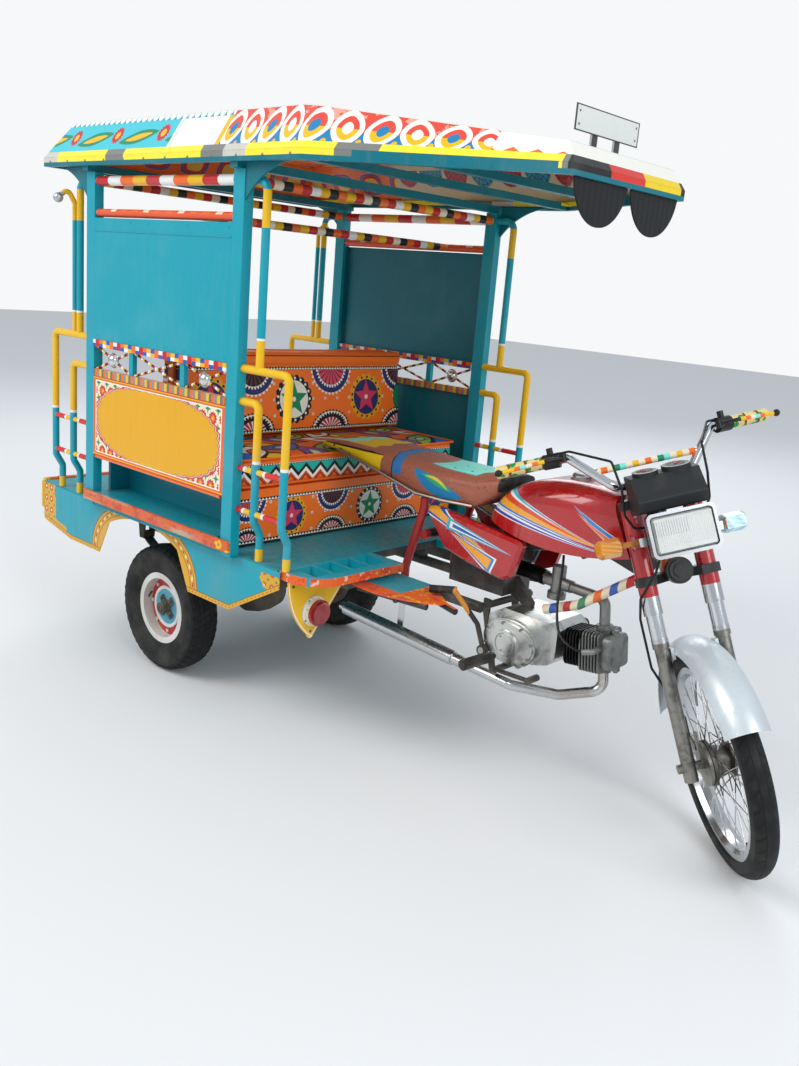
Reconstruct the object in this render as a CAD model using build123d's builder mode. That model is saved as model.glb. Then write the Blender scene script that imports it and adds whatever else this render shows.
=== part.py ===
from build123d import *
import os
from math import atan2, cos, degrees, radians, sin, sqrt, tan

# Motorcycle rickshaw: the front half of a small motorcycle joined to a two-wheeled passenger cabin.
# Millimetres, +X forward, +Y left, +Z up. The origin is on the ground under the middle of the vehicle.

os.makedirs("parts", exist_ok=True)

# Running gear
FRONT_AXLE_X = 1100.0
WHEELBASE = 1765.0
REAR_TYRE_R = 208.0
REAR_TYRE_WIDTH = 105.0
REAR_WHEEL_Y = 375.0
REAR_FLANGE_R = 117.0
REAR_BEAD_R = 101.0
REAR_RIM_HALF = 36.0
FRONT_TYRE_R = 273.0
FRONT_TYRE_WIDTH = 60.0
FRONT_FLANGE_R = 229.0
FRONT_BEAD_R = 217.0
FRONT_RIM_HALF = 23.0
SPOKES = 36
RUNNING_GAP = 0.3
SEAT_GAP = 0.3

# Steering, in a frame whose Z is the steering axis and whose X points ahead of it
RAKE = 23.5
TRAIL = 66.5
STEER_LOCK = 45.0
STEER_REST = -STEER_LOCK
FORK_HALF = 75.0
FORK_R = 17.0
COVER_R = 23.0
LOWER_YOKE_S = 716.0
UPPER_YOKE_S = 901.0
YOKE_T = 22.0
STEM_R = 12.0
HEAD_TUBE_R = 24.0
FENDER_R = 303.0
FENDER_T = 1.6
FENDER_HALF = 52.0
BAR_R = 11.0
BAR_F = -8.0
BAR_S = UPPER_YOKE_S + YOKE_T + 36
BAR_RISE = 100.0
CLAMP_GAP = 0.1
GRIP_R = 16.0
BAR_HALF = 345.0

# Cabin
CABIN_X = -540.0
POST_PITCH = 715.0
POST_X = 45.0
POST_Y = 30.0
HALF_WIDTH = 533.0
FLOOR_Z = 525.0
SHEET = 3.0
RAIL_TOP_Z = 1519.0
TOP_RAIL_R = 20.0
SILL_Z = 1424.0
SILL_R = 12.0
PANEL_TOP_Z = 1396.0
PANEL_LOW_Z = 1050.0
GALLERY_Z = 960.0
PAINTED_LOW_Z = 688.0
LEDGE_Z = 565.0
WALL_INSET = 133.0
GUARD_R = 11.0
CHASSIS_Y = 250.0
CHASSIS_W = 40.0
CHASSIS_LOW_Z = 440.0
CHASSIS_TOP_Z = 500.0
SKIRT_INSET = 33.0
SKIRT_LOW_Z = 356.0
ARCH_R = 250.0
DECK_REAR_X = -1253.0
DECK_FRONT_X = 60.0

# Bench
BENCH_FRONT_X = -222.0
BENCH_REAR_X = -888.0
BENCH_TOP_Z = 690.0
CUSHION_T = 95.0
BOARD_X = -567.0
BOARD_T = 25.0
BACK_T = 60.0
BACK_TOP_Z = 1060.0

# Roof
EAVE_Z = 1580.0
EAVE_OVERHANG = 27.0
EAVE_REAR_X = -1130.0
EAVE_CORNER_X = 75.0
VISOR_X = 630.0
VISOR_Y = 255.0
ROOF_RISE = 110.0
VISOR_RISE = 45.0
FASCIA_LEAN = 32.0

REAR_AXLE_X = FRONT_AXLE_X - WHEELBASE
WALL_Y = HALF_WIDTH - WALL_INSET
SKIRT_Y = HALF_WIDTH - SKIRT_INSET
EAVE_Y = HALF_WIDTH + EAVE_OVERHANG
HEAD_X = FRONT_AXLE_X + TRAIL
ROOT = Location((0, 0, 0))
rake = radians(RAKE)
rest = radians(STEER_REST)
WHEEL_S = FRONT_TYRE_R * cos(rake) + TRAIL * sin(rake)
WHEEL_F = FRONT_TYRE_R * sin(rake) - TRAIL * cos(rake)
TYRE_RING = FRONT_TYRE_R - FRONT_TYRE_WIDTH / 2
wheel_height = WHEEL_S * cos(rake) + WHEEL_F * sin(rake) * cos(rest)
wheel_upright = sqrt(1 - (sin(rake) * sin(rest)) ** 2)
HEAD_Z = TYRE_RING * wheel_upright + FRONT_TYRE_WIDTH / 2 - wheel_height
STRAIGHT = Plane(origin=(HEAD_X, 0, HEAD_Z), x_dir=(cos(rake), 0, sin(rake)), z_dir=(-sin(rake), 0, cos(rake)))
HEAD = STRAIGHT.location
STEER = HEAD * Location((0, 0, 0), (0, 0, STEER_REST))
WHEEL = STEER * Location((WHEEL_F, 0, WHEEL_S))


def head_x(z):
    """X of the steering axis at a height above the ground."""
    return HEAD_X - (z - HEAD_Z) * tan(rake)


def turned(frame, plane):
    """A plane given in a frame, in the vehicle's own axes."""
    return Plane(frame * plane.location)


def block(frame, x, y, z, mode=Mode.ADD):
    """Add a bar or slab between two x, two y and two z values."""
    with Locations(frame * Location(((x[0] + x[1]) / 2, (y[0] + y[1]) / 2, (z[0] + z[1]) / 2))):
        Box(abs(x[1] - x[0]), abs(y[1] - y[0]), abs(z[1] - z[0]), mode=mode)


def rod(frame, start, end, radius, mode=Mode.ADD):
    """Add a round bar between two points."""
    run = Vector(*end) - Vector(*start)
    with BuildSketch(turned(frame, Plane(origin=start, z_dir=run))) as section:
        Circle(radius)
    extrude(section.sketch, amount=run.length, mode=mode)


def bent_bar(frame, points, bend, radius, mode=Mode.ADD):
    """Add a round bar along straight runs joined by arcs."""
    with BuildLine(mode=Mode.PRIVATE) as path:
        FilletPolyline(*points, radius=bend)
    route = path.line.moved(frame)
    with BuildSketch(Plane(origin=route @ 0, z_dir=route % 0)) as section:
        Circle(radius)
    sweep(section.sketch, path=route, mode=mode)


def side_plane(y, frame=ROOT):
    """Plane at y, drawn as X and Z, that extrudes towards -Y."""
    return turned(frame, Plane(origin=(0, y, 0), x_dir=(1, 0, 0), z_dir=(0, -1, 0)))


def cross_plane(x, frame=ROOT):
    """Plane at x, drawn as Y and Z, that extrudes towards +X."""
    return turned(frame, Plane(origin=(x, 0, 0), x_dir=(0, 1, 0), z_dir=(1, 0, 0)))


def flat_plane(z, frame=ROOT):
    """Plane at z, drawn as X and Y, that extrudes towards +Z."""
    return turned(frame, Plane.XY.offset(z))


def slab(plane, outline, thickness, mode=Mode.ADD):
    """Extrude a straight-sided outline from its plane."""
    with BuildSketch(plane) as section:
        Polygon(*outline, align=None)
    extrude(section.sketch, amount=thickness, mode=mode)


def ring(frame, outline, mode=Mode.ADD):
    """Revolve an outline of (y, radius) points about the Y axis of a frame."""
    with BuildSketch(cross_plane(0, frame)) as section:
        Polygon(*outline, align=None)
    revolve(section.sketch, axis=axle(frame), mode=mode)


def axle(frame):
    """The Y axis of a frame."""
    plane = Plane(frame)
    return Axis(plane.origin, plane.y_dir)


# Front wheel: tyre, chromed rim with spokes and drum hub
HUB_HALF = 30.0
HUB_R = 55.0
AXLE_R = 6.0
SPOKE_R = 1.5
with BuildPart() as front_tyre:
    with BuildSketch(cross_plane(0, WHEEL)):
        with Locations((0, TYRE_RING)):
            Circle(FRONT_TYRE_WIDTH / 2)
        with Locations((0, FRONT_FLANGE_R / 2)):
            Rectangle(FRONT_TYRE_WIDTH, FRONT_FLANGE_R + 1, mode=Mode.SUBTRACT)
        with Locations((0, (FRONT_BEAD_R + SEAT_GAP + FRONT_FLANGE_R + 1) / 2)):
            Rectangle(2 * (FRONT_RIM_HALF - 5 - SEAT_GAP), FRONT_FLANGE_R + 1 - FRONT_BEAD_R - SEAT_GAP)
    revolve(axis=axle(WHEEL))

with BuildPart() as front_wheel_rim:
    ring(WHEEL, [
        (-FRONT_RIM_HALF, FRONT_FLANGE_R), (-FRONT_RIM_HALF, FRONT_BEAD_R - 4), (-10, FRONT_BEAD_R - 10),
        (10, FRONT_BEAD_R - 10), (FRONT_RIM_HALF, FRONT_BEAD_R - 4), (FRONT_RIM_HALF, FRONT_FLANGE_R),
        (FRONT_RIM_HALF - 5, FRONT_FLANGE_R - 2), (FRONT_RIM_HALF - 5, FRONT_BEAD_R),
        (9, FRONT_BEAD_R - 6), (-9, FRONT_BEAD_R - 6), (5 - FRONT_RIM_HALF, FRONT_BEAD_R),
        (5 - FRONT_RIM_HALF, FRONT_FLANGE_R - 2),
    ])
    ring(WHEEL, [
        (-HUB_HALF, AXLE_R + RUNNING_GAP), (-HUB_HALF, HUB_R), (8 - HUB_HALF, HUB_R), (14 - HUB_HALF, 42),
        (HUB_HALF - 12, 32), (HUB_HALF - 8, 44), (HUB_HALF - 3, 44), (HUB_HALF, 20),
        (HUB_HALF, AXLE_R + RUNNING_GAP),
    ])
    for index in range(SPOKES):
        side = 1 if index % 2 else -1
        lead = 1 if index % 4 < 2 else -1
        start_angle = radians(360 / SPOKES * index)
        hub_angle = start_angle + lead * radians(62)
        start = (38 * sin(hub_angle), side * (HUB_HALF - 7), 38 * cos(hub_angle))
        reach = FRONT_BEAD_R - 8
        rod(WHEEL, start, (reach * sin(start_angle), side * 4, reach * cos(start_angle)), SPOKE_R)

# Fork: sliders with the axle, brake plate, red covers and the two yokes
SLIDER_LENGTH = 300.0
PLATE_Y = -HUB_HALF - 1
with BuildPart() as fork_legs:
    for side in (-1, 1):
        y = side * FORK_HALF
        rod(STEER, (WHEEL_F, y, WHEEL_S - 34), (WHEEL_F, y, WHEEL_S + SLIDER_LENGTH), FORK_R)
        rod(STEER, (WHEEL_F, y, WHEEL_S + SLIDER_LENGTH), (WHEEL_F, y, UPPER_YOKE_S + YOKE_T + 4), FORK_R - 4)
        rod(STEER, (WHEEL_F, y, WHEEL_S + SLIDER_LENGTH - 12), (WHEEL_F, y, WHEEL_S + SLIDER_LENGTH + 12), FORK_R + 3)
        rod(WHEEL, (0, y - side * (FORK_R - 3), 0), (0, side * (HUB_HALF + 1), 0), 11)
        rod(WHEEL, (0, y, 0), (0, side * (FORK_HALF + FORK_R + 10), 0), 11)
    rod(WHEEL, (0, -HUB_HALF - 2, 0), (0, HUB_HALF + 2, 0), AXLE_R)
    rod(WHEEL, (0, PLATE_Y, 0), (0, PLATE_Y - 8, 0), HUB_R - 3)
    slab(side_plane(PLATE_Y - 8, WHEEL), [(-6, 0), (6, 0), (8, 78), (-8, 78)], 6)
    slab(side_plane(PLATE_Y - 8, WHEEL), [(-20, 30), (-20, 44), (-50, 60), (-66, 60), (-66, 48)], 6)

with BuildPart() as fork_covers:
    for side in (-1, 1):
        with BuildSketch(flat_plane(LOWER_YOKE_S + YOKE_T + SEAT_GAP, STEER)):
            with Locations((WHEEL_F, side * FORK_HALF)):
                Circle(COVER_R)
                Circle(FORK_R - 4 + 1, mode=Mode.SUBTRACT)
        extrude(amount=UPPER_YOKE_S - LOWER_YOKE_S - YOKE_T - 2 * SEAT_GAP)
        with BuildSketch(flat_plane(LOWER_YOKE_S - 70, STEER)):
            with Locations((WHEEL_F, side * FORK_HALF)):
                Circle(COVER_R)
                Circle(FORK_R - 4 + 1, mode=Mode.SUBTRACT)
        extrude(amount=70 - SEAT_GAP)
        # Lug that carries the headlight
        y0 = side * (FORK_HALF + COVER_R - 4)
        block(STEER, (WHEEL_F + 8, WHEEL_F + 62), (y0 - side * 3, y0), (806, 838))

HORN_R = 32.0
HORN_REAR_F = 58.0
with BuildPart() as steering_yokes:
    for level in (LOWER_YOKE_S, UPPER_YOKE_S):
        with BuildSketch(flat_plane(level, STEER)):
            with BuildLine():
                Polyline((-30, -22), (-30, 22), (WHEEL_F - 12, FORK_HALF + 24), (WHEEL_F + 24, FORK_HALF + 24),
                         (WHEEL_F + 26, FORK_HALF - 20), (WHEEL_F - 4, 22), (WHEEL_F - 4, -22), (WHEEL_F + 26, 20 - FORK_HALF),
                         (WHEEL_F + 24, -FORK_HALF - 24), (WHEEL_F - 12, -FORK_HALF - 24), close=True)
            make_face()
            with Locations((WHEEL_F, FORK_HALF), (WHEEL_F, -FORK_HALF)):
                Circle(FORK_R - 4, mode=Mode.SUBTRACT)
        extrude(amount=YOKE_T)
    rod(STEER, (0, 0, LOWER_YOKE_S + YOKE_T / 2), (0, 0, UPPER_YOKE_S + YOKE_T / 2), STEM_R)
    rod(STEER, (0, 0, UPPER_YOKE_S + YOKE_T), (0, 0, UPPER_YOKE_S + YOKE_T + 12), 16)
    # Horn on a tab of the lower yoke
    horn_s = LOWER_YOKE_S + YOKE_T
    block(STEER, (WHEEL_F - 8, HORN_REAR_F + 6), (-14, 14), (LOWER_YOKE_S + 8, LOWER_YOKE_S + 12))
    for start, end, radius in ((0, 6, 14), (5, 24, HORN_R), (23, 29, HORN_R - 6), (28, 32, HORN_R - 16)):
        rod(STEER, (HORN_REAR_F + start, 0, horn_s), (HORN_REAR_F + end, 0, horn_s), radius)
    # Risers for the handlebar
    for side in (-1, 1):
        y = side * 38
        with BuildSketch(side_plane(y + 9, STEER)):
            with Locations((BAR_F, (UPPER_YOKE_S + YOKE_T + BAR_S + 18) / 2)):
                Rectangle(30, BAR_S + 18 - UPPER_YOKE_S - YOKE_T)
            with Locations((BAR_F, BAR_S)):
                Circle(BAR_R + CLAMP_GAP, mode=Mode.SUBTRACT)
        extrude(amount=18)

BAR_POINTS = [
    (BAR_F - 75, -BAR_HALF, BAR_S + BAR_RISE + 6), (BAR_F - 5, -180, BAR_S + BAR_RISE), (BAR_F + 36, -94, BAR_S + 4),
]
bar_route = BAR_POINTS + [(BAR_F, -62, BAR_S), (BAR_F, 62, BAR_S)] + [(f, -y, s) for f, y, s in BAR_POINTS[::-1]]
with BuildPart() as handlebar:
    with BuildLine(mode=Mode.PRIVATE) as bar_path:
        FilletPolyline(*bar_route, radius=22)
    bar_line = bar_path.line.moved(STEER)
    with BuildSketch(Plane(origin=bar_line @ 0, z_dir=bar_line % 0)):
        Circle(BAR_R)
    sweep(path=bar_line)
    rod(STEER, (BAR_F + 18, -134, BAR_S + BAR_RISE / 2), (BAR_F + 18, 134, BAR_S + BAR_RISE / 2), 8)

# Front mudguard on its stays
FENDER_FRONT = 68.0
FENDER_REAR = -72.0
with BuildPart() as front_fender:
    swing = WHEEL * Location((0, 0, 0), (0, FENDER_REAR, 0))
    with BuildSketch(cross_plane(0, swing)) as fender_section:
        with BuildLine():
            crown = ThreePointArc((-FENDER_HALF, FENDER_R - 34), (0, FENDER_R), (FENDER_HALF, FENDER_R - 34))
            offset(crown, amount=FENDER_T, side=Side.RIGHT)
        make_face()
    revolve(axis=axle(WHEEL), revolution_arc=FENDER_FRONT - FENDER_REAR)
    for side in (-1, 1):
        y = (side * (FENDER_HALF - 2), side * (FORK_HALF - FORK_R - SEAT_GAP))
        block(STEER, (WHEEL_F - 14, WHEEL_F + 14), y, (WHEEL_S + 256, WHEEL_S + 284))

# Headlight, instrument housing and signals
LAMP_HALF = 80.0
LAMP_LOW_S = 776.0
LAMP_TOP_S = 880.0
LAMP_REAR_F = 104.0
LAMP_FRONT_F = 188.0
with BuildPart() as headlight_housing:
    with BuildSketch(cross_plane(LAMP_REAR_F, STEER)):
        with Locations((0, (LAMP_LOW_S + LAMP_TOP_S) / 2)):
            RectangleRounded(2 * LAMP_HALF - 50, LAMP_TOP_S - LAMP_LOW_S - 30, 16)
    with BuildSketch(cross_plane(LAMP_FRONT_F - 24, STEER)):
        with Locations((0, (LAMP_LOW_S + LAMP_TOP_S) / 2)):
            RectangleRounded(2 * LAMP_HALF - 8, LAMP_TOP_S - LAMP_LOW_S - 8, 14)
    loft()
    with BuildSketch(cross_plane(LAMP_FRONT_F - 24, STEER)):
        with Locations((0, (LAMP_LOW_S + LAMP_TOP_S) / 2)):
            RectangleRounded(2 * LAMP_HALF, LAMP_TOP_S - LAMP_LOW_S, 14)
    extrude(amount=24)
    with BuildSketch(cross_plane(LAMP_FRONT_F - 10, STEER)):
        with Locations((0, (LAMP_LOW_S + LAMP_TOP_S) / 2)):
            RectangleRounded(2 * LAMP_HALF - 14, LAMP_TOP_S - LAMP_LOW_S - 14, 10)
    extrude(amount=10, mode=Mode.SUBTRACT)
    # Ears that bolt to the fork covers' lugs
    for side in (-1, 1):
        y1 = side * (FORK_HALF + COVER_R - 4)
        block(STEER, (WHEEL_F + 46, LAMP_FRONT_F - 30), (y1 + side * SEAT_GAP, y1 + side * 4), (812, 832))
        block(STEER, (LAMP_FRONT_F - 46, LAMP_FRONT_F - 30), (side * 60, y1 + side * 4), (812, 832))

with BuildPart() as headlight_lens:
    with BuildSketch(cross_plane(LAMP_FRONT_F - 10 + 0.1, STEER)):
        with Locations((0, (LAMP_LOW_S + LAMP_TOP_S) / 2)):
            RectangleRounded(2 * LAMP_HALF - 15, LAMP_TOP_S - LAMP_LOW_S - 15, 9.5)
    extrude(amount=17, taper=20)

DIAL_LOW_S = 884.0
DIAL_TOP_S = 960.0
with BuildPart() as instrument_housing:
    with BuildSketch(side_plane(82, STEER)):
        Polygon((80, DIAL_LOW_S + 8), (90, DIAL_LOW_S), (154, DIAL_LOW_S), (164, DIAL_LOW_S + 26),
                (136, DIAL_TOP_S + 8), (84, DIAL_TOP_S + 22), align=None)
    extrude(amount=164)
    fillet(instrument_housing.edges().filter_by(Axis(Plane(STEER).origin, Plane(STEER).y_dir)), 7)
    with Locations(STEER * Location((112, 36, DIAL_TOP_S + 12), (0, 14, 0))):
        Cylinder(34, 24)
    with Locations(STEER * Location((112, -38, DIAL_TOP_S + 12), (0, 14, 0))):
        Cylinder(30, 20)
    block(STEER, (WHEEL_F - 4 + SEAT_GAP, 90), (-18, 18), (UPPER_YOKE_S, UPPER_YOKE_S + YOKE_T))

with BuildPart() as turn_signals:
    for side in (-1, 1):
        y1 = side * (FORK_HALF + COVER_R - 4)
        rod(STEER, (WHEEL_F + 30, y1 + side * SEAT_GAP, 822), (WHEEL_F + 30, side * 122, 822), 7)
        with BuildSketch(cross_plane(WHEEL_F + 12, STEER)):
            with Locations((side * 150, 822)):
                RectangleRounded(64, 44, 14)
        extrude(amount=18)
        with BuildSketch(cross_plane(WHEEL_F + 30, STEER)):
            with Locations((side * 150, 822)):
                RectangleRounded(66, 46, 14)
        extrude(amount=22, taper=22)

# Grips, perches and levers follow the ends of the handlebar
GRIP_LENGTH = 118.0
with BuildPart() as grips:
    for side in (-1, 1):
        end = Vector(BAR_F - 75, side * BAR_HALF, BAR_S + BAR_RISE + 6)
        inner = Vector(BAR_F - 5, side * 180, BAR_S + BAR_RISE)
        along = (inner - end).normalized()
        first = end - along * 3
        last = end + along * GRIP_LENGTH
        rod(STEER, first, last, GRIP_R)
        rod(STEER, end, last + along, BAR_R + CLAMP_GAP, mode=Mode.SUBTRACT)

MIRROR_THREAD_R = 4.0
LEVER_R = 5.0
with BuildPart() as control_levers:
    for side in (-1, 1):
        end = Vector(BAR_F - 75, side * BAR_HALF, BAR_S + BAR_RISE + 6)
        inner = Vector(BAR_F - 5, side * 180, BAR_S + BAR_RISE)
        along = (inner - end).normalized()
        low = end + along * (GRIP_LENGTH + 1)
        high = low + along * 40
        rod(STEER, low, high, 19)
        pivot = high + Vector(30, side * -4, 0)
        rod(STEER, (high - along * 12 + Vector(14, 0, 0)), pivot, 9)
        rod(STEER, (pivot - Vector(0, 0, 10)), (pivot + Vector(0, 0, 10)), 8)
        rod(STEER, low - along, high + along * 24, BAR_R + CLAMP_GAP, mode=Mode.SUBTRACT)
        tip = end + Vector(58, side * 8, -6)
        bent_bar(STEER, [pivot, (pivot + Vector(14, side * 45, 0)), tip],
                 30, LEVER_R)
        with Locations(STEER * Location(tip)):
            Sphere(9)
        boss = high - along * 20 + Vector(0, 0, 17)
        rod(STEER, boss, (boss + Vector(0, 0, 16)), 8)
        rod(STEER, (boss + Vector(0, 0, 4)), (boss + Vector(0, 0, 17)), MIRROR_THREAD_R,
            mode=Mode.SUBTRACT)

# Cables on the bars: throttle, clutch, front brake and speedometer
CABLE_R = 3.0
with BuildPart() as control_cables:
    for side in (-1, 1):
        end = Vector(BAR_F - 75, side * BAR_HALF, BAR_S + BAR_RISE + 6)
        inner = Vector(BAR_F - 5, side * 180, BAR_S + BAR_RISE)
        along = (inner - end).normalized()
        high = end + along * (GRIP_LENGTH + 41)
        out = high + along + Vector(0, 0, 15)
        bent_bar(STEER, [out, out + along * 26, (112, side * 108, 1020),
                         (124, side * 102, 950), (98, side * 102, 890), (86, side * 84, 856),
                         (80, side * 38, 850), (LAMP_REAR_F - SEAT_GAP, side * 38, 850)], 12, CABLE_R)
    brake_y = -FORK_HALF - COVER_R - CABLE_R - 2
    behind = WHEEL_F - FORK_R - CABLE_R - 4
    bent_bar(STEER, [(128, -50, LAMP_LOW_S + 4), (122, -70, 742), (70, brake_y, 690), (behind, brake_y, 640),
                     (behind, brake_y, 520), (behind - 14, -70, 440), (WHEEL_F - 58, -42, 380),
                     (WHEEL_F - 58, -42, WHEEL_S + 60 + SEAT_GAP)], 16, CABLE_R)

# Motorcycle frame: head tube, backbone, centre box, saddle struts and the banded down strut
NECK_Y = 110.0
NECK_FRONT_X = 400.0
NECK_R = 15.0
NECK_Z = 460.0
SADDLE_LOW_Z = 719.0
STRUT_R = 13.0
BACKBONE_R = 22.0
BACKBONE = [(760, 0, 735), (450, 0, 640), (250, 0, 612), (170, 0, 612)]
HEAD_LOW_S = LOWER_YOKE_S + YOKE_T + 1
HEAD_HIGH_S = UPPER_YOKE_S - 1
BOX_X = (240, 430)
BOX_Z = (492, 640)
BOX_HALF = 62.0
TANK_FRONT_REST_Z = 664.9
TANK_REAR_REST_Z = 690.7
with BuildPart() as motorcycle_frame:
    rod(HEAD, (0, 0, HEAD_LOW_S), (0, 0, HEAD_HIGH_S), HEAD_TUBE_R)
    bent_bar(ROOT, [(head_x(748) - 4, 0, 748)] + BACKBONE[1:], 60, BACKBONE_R)
    slab(side_plane(4), [(head_x(760) - 10, 760), (head_x(684) - 20, 684), (812, 636), (780, 640), (600, 690)], 8)
    rod(HEAD, (0, 0, HEAD_LOW_S - 1), (0, 0, HEAD_HIGH_S + 1), STEM_R + 0.5, mode=Mode.SUBTRACT)
    block(ROOT, BOX_X, (-BOX_HALF, BOX_HALF), BOX_Z)
    rod(ROOT, (170, -NECK_Y, 612), (170, NECK_Y, 612), 14)
    for side in (-1, 1):
        y = side * NECK_Y
        bent_bar(ROOT, [(115, y, NECK_Z + NECK_R + SEAT_GAP), (115, y, 505), (165, y, 690),
                        (165, y, SADDLE_LOW_Z - SEAT_GAP)], 30, 12)
    bent_bar(ROOT, [(822, -17, 650), (655, -40, 528), (560, -45, 490)], 60, STRUT_R)
    slab(side_plane(8), [(380, 520), (390, 498), (462, 468), (492, 468), (492, 480), (430, 540)], 16)
    # Rests of the fuel tank: a cross bar in front and a plate on a post behind
    rod(ROOT, (664, -60, TANK_FRONT_REST_Z), (664, 60, TANK_FRONT_REST_Z), 8)
    block(ROOT, (657, 671), (-14, 14), (TANK_FRONT_REST_Z, 700))
    rod(ROOT, (381, 0, 625), (381, 0, TANK_REAR_REST_Z - 2), 11)
    block(ROOT, (370, 392), (-44, 44), (TANK_REAR_REST_Z - 6, TANK_REAR_REST_Z))

# Fuel tank with its cap: x, half width, bottom, top and shoulder radius of each section
TANK_SECTIONS = [
    (366, 62, 694, 722, 16),
    (430, 96, 686, 794, 44),
    (540, 116, 674, 840, 62),
    (670, 112, 674, 847, 60),
    (800, 62, 690, 820, 34),
]
with BuildPart() as fuel_tank:
    for x, half, low, high, shoulder in TANK_SECTIONS:
        with BuildSketch(cross_plane(x)) as tank_face:
            Polygon((-half, low), (half, low), (half - 4, high), (4 - half, high), align=None)
            fillet(tank_face.vertices().group_by(Axis.Y)[-1], shoulder)
    loft()
    slab(side_plane(200), [(728, 900), (744, 822), (800, 680), (900, 680), (900, 900)], 400, Mode.SUBTRACT)
    # Tunnel that straddles the backbone
    with BuildSketch(side_plane(BACKBONE_R + 6)):
        Polygon((360, 600), (360, 668), (480, 684), (head_x(748) - 20, 782), (820, 782), (820, 600), align=None)
    extrude(amount=2 * (BACKBONE_R + 6), mode=Mode.SUBTRACT)
    rod(ROOT, (600, 0, 838), (600, 0, 850), 34)
    rod(ROOT, (600, 0, 850), (600, 0, 861), 30)
    chamfer(fuel_tank.edges().group_by(Axis.Z)[-1], 5)

# Side covers over the centre box
COVER_OUTLINE = [(166, 694), (205, 703), (515, 668), (484, 566), (455, 553), (330, 572), (250, 592)]
COVER_IN = 92.0
COVER_T = 24.0
with BuildPart() as side_covers:
    for side in (-1, 1):
        inner_y = side * COVER_IN + (COVER_T if side > 0 else 0)
        with BuildSketch(side_plane(inner_y)) as cover_face:
            Polygon(*COVER_OUTLINE, align=None)
            fillet(cover_face.vertices(), 14)
        extrude(amount=COVER_T)
        outer = side_covers.faces().filter_by(Axis.Y).sort_by(Axis.Y)[0 if side < 0 else -1]
        chamfer(outer.edges(), 9)
        rod(ROOT, (330, side * BOX_HALF, 625), (330, side * COVER_IN, 625), 9)

# Driver's saddle: a long pad that ends on the passengers' bench
SADDLE_HALF = 128.0
SADDLE_REAR_X = -280.0
with BuildPart() as driver_saddle:
    with BuildSketch(side_plane(SADDLE_HALF)):
        with BuildLine():
            Polyline((420, 806), (346, SADDLE_LOW_Z), (140, SADDLE_LOW_Z), (20, 748), (-190, 790), (SADDLE_REAR_X, 790),
                     (SADDLE_REAR_X, 806))
            ThreePointArc((SADDLE_REAR_X, 806), (-150, 824), (0, 816))
            ThreePointArc((0, 816), (220, 806), (420, 824))
            Line((420, 824), (420, 806))
        make_face()
    extrude(amount=2 * SADDLE_HALF)
    with BuildSketch(flat_plane(700)):
        with BuildLine():
            Polyline((SADDLE_REAR_X, -118), (60, -SADDLE_HALF), (240, -SADDLE_HALF))
            ThreePointArc((240, -SADDLE_HALF), (370, -98), (440, -72))
            Line((440, -72), (440, 72))
            ThreePointArc((440, 72), (370, 98), (240, SADDLE_HALF))
            Polyline((240, SADDLE_HALF), (60, SADDLE_HALF), (SADDLE_REAR_X, 118), (SADDLE_REAR_X, -118))
        make_face()
    extrude(amount=160, mode=Mode.INTERSECT)

# Engine: crankcase with its side covers
ENGINE_HALF = 74.0
CLUTCH_X = 502.0
CLUTCH_Z = 392.0
with BuildPart() as engine_crankcase:
    with BuildSketch(side_plane(ENGINE_HALF)) as case_face:
        Polygon((398, 360), (420, 338), (560, 338), (606, 352), (626, 372), (626, 448), (600, 466), (450, 468),
                (404, 440), align=None)
        fillet(case_face.vertices(), 12)
    extrude(amount=2 * ENGINE_HALF)
    # Clutch cover on the right, then the smaller magneto cover on the left, both with dished rims
    for wall, depth, sign in ((-ENGINE_HALF, 44, -1), (ENGINE_HALF, 34, 1)):
        for step, drop, shrink in ((0, depth - 12, 0), (depth - 12, 8, 3), (depth - 4, 4, 9)):
            y0 = wall + sign * step
            with BuildSketch(side_plane(y0)):
                with Locations((CLUTCH_X + 2, CLUTCH_Z)):
                    Ellipse(88 - shrink - (4 if sign > 0 else 0), 63 - shrink - (6 if sign > 0 else 0))
            extrude(amount=-sign * drop)
    with BuildSketch(side_plane(-ENGINE_HALF - 44)):
        with Locations((CLUTCH_X - 4, CLUTCH_Z - 2)):
            Circle(38)
    extrude(amount=7, taper=12)
    # Kick shaft and drain boss
    rod(ROOT, (432, -ENGINE_HALF, 352), (432, -ENGINE_HALF - 62, 352), 9)
    rod(ROOT, (545, -ENGINE_HALF - 10, 346), (545, -ENGINE_HALF - 46, 346), 12)
    for y in (-38, 38):
        block(ROOT, (484, 500), (y - 9, y + 9), (328.8, 342))

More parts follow.
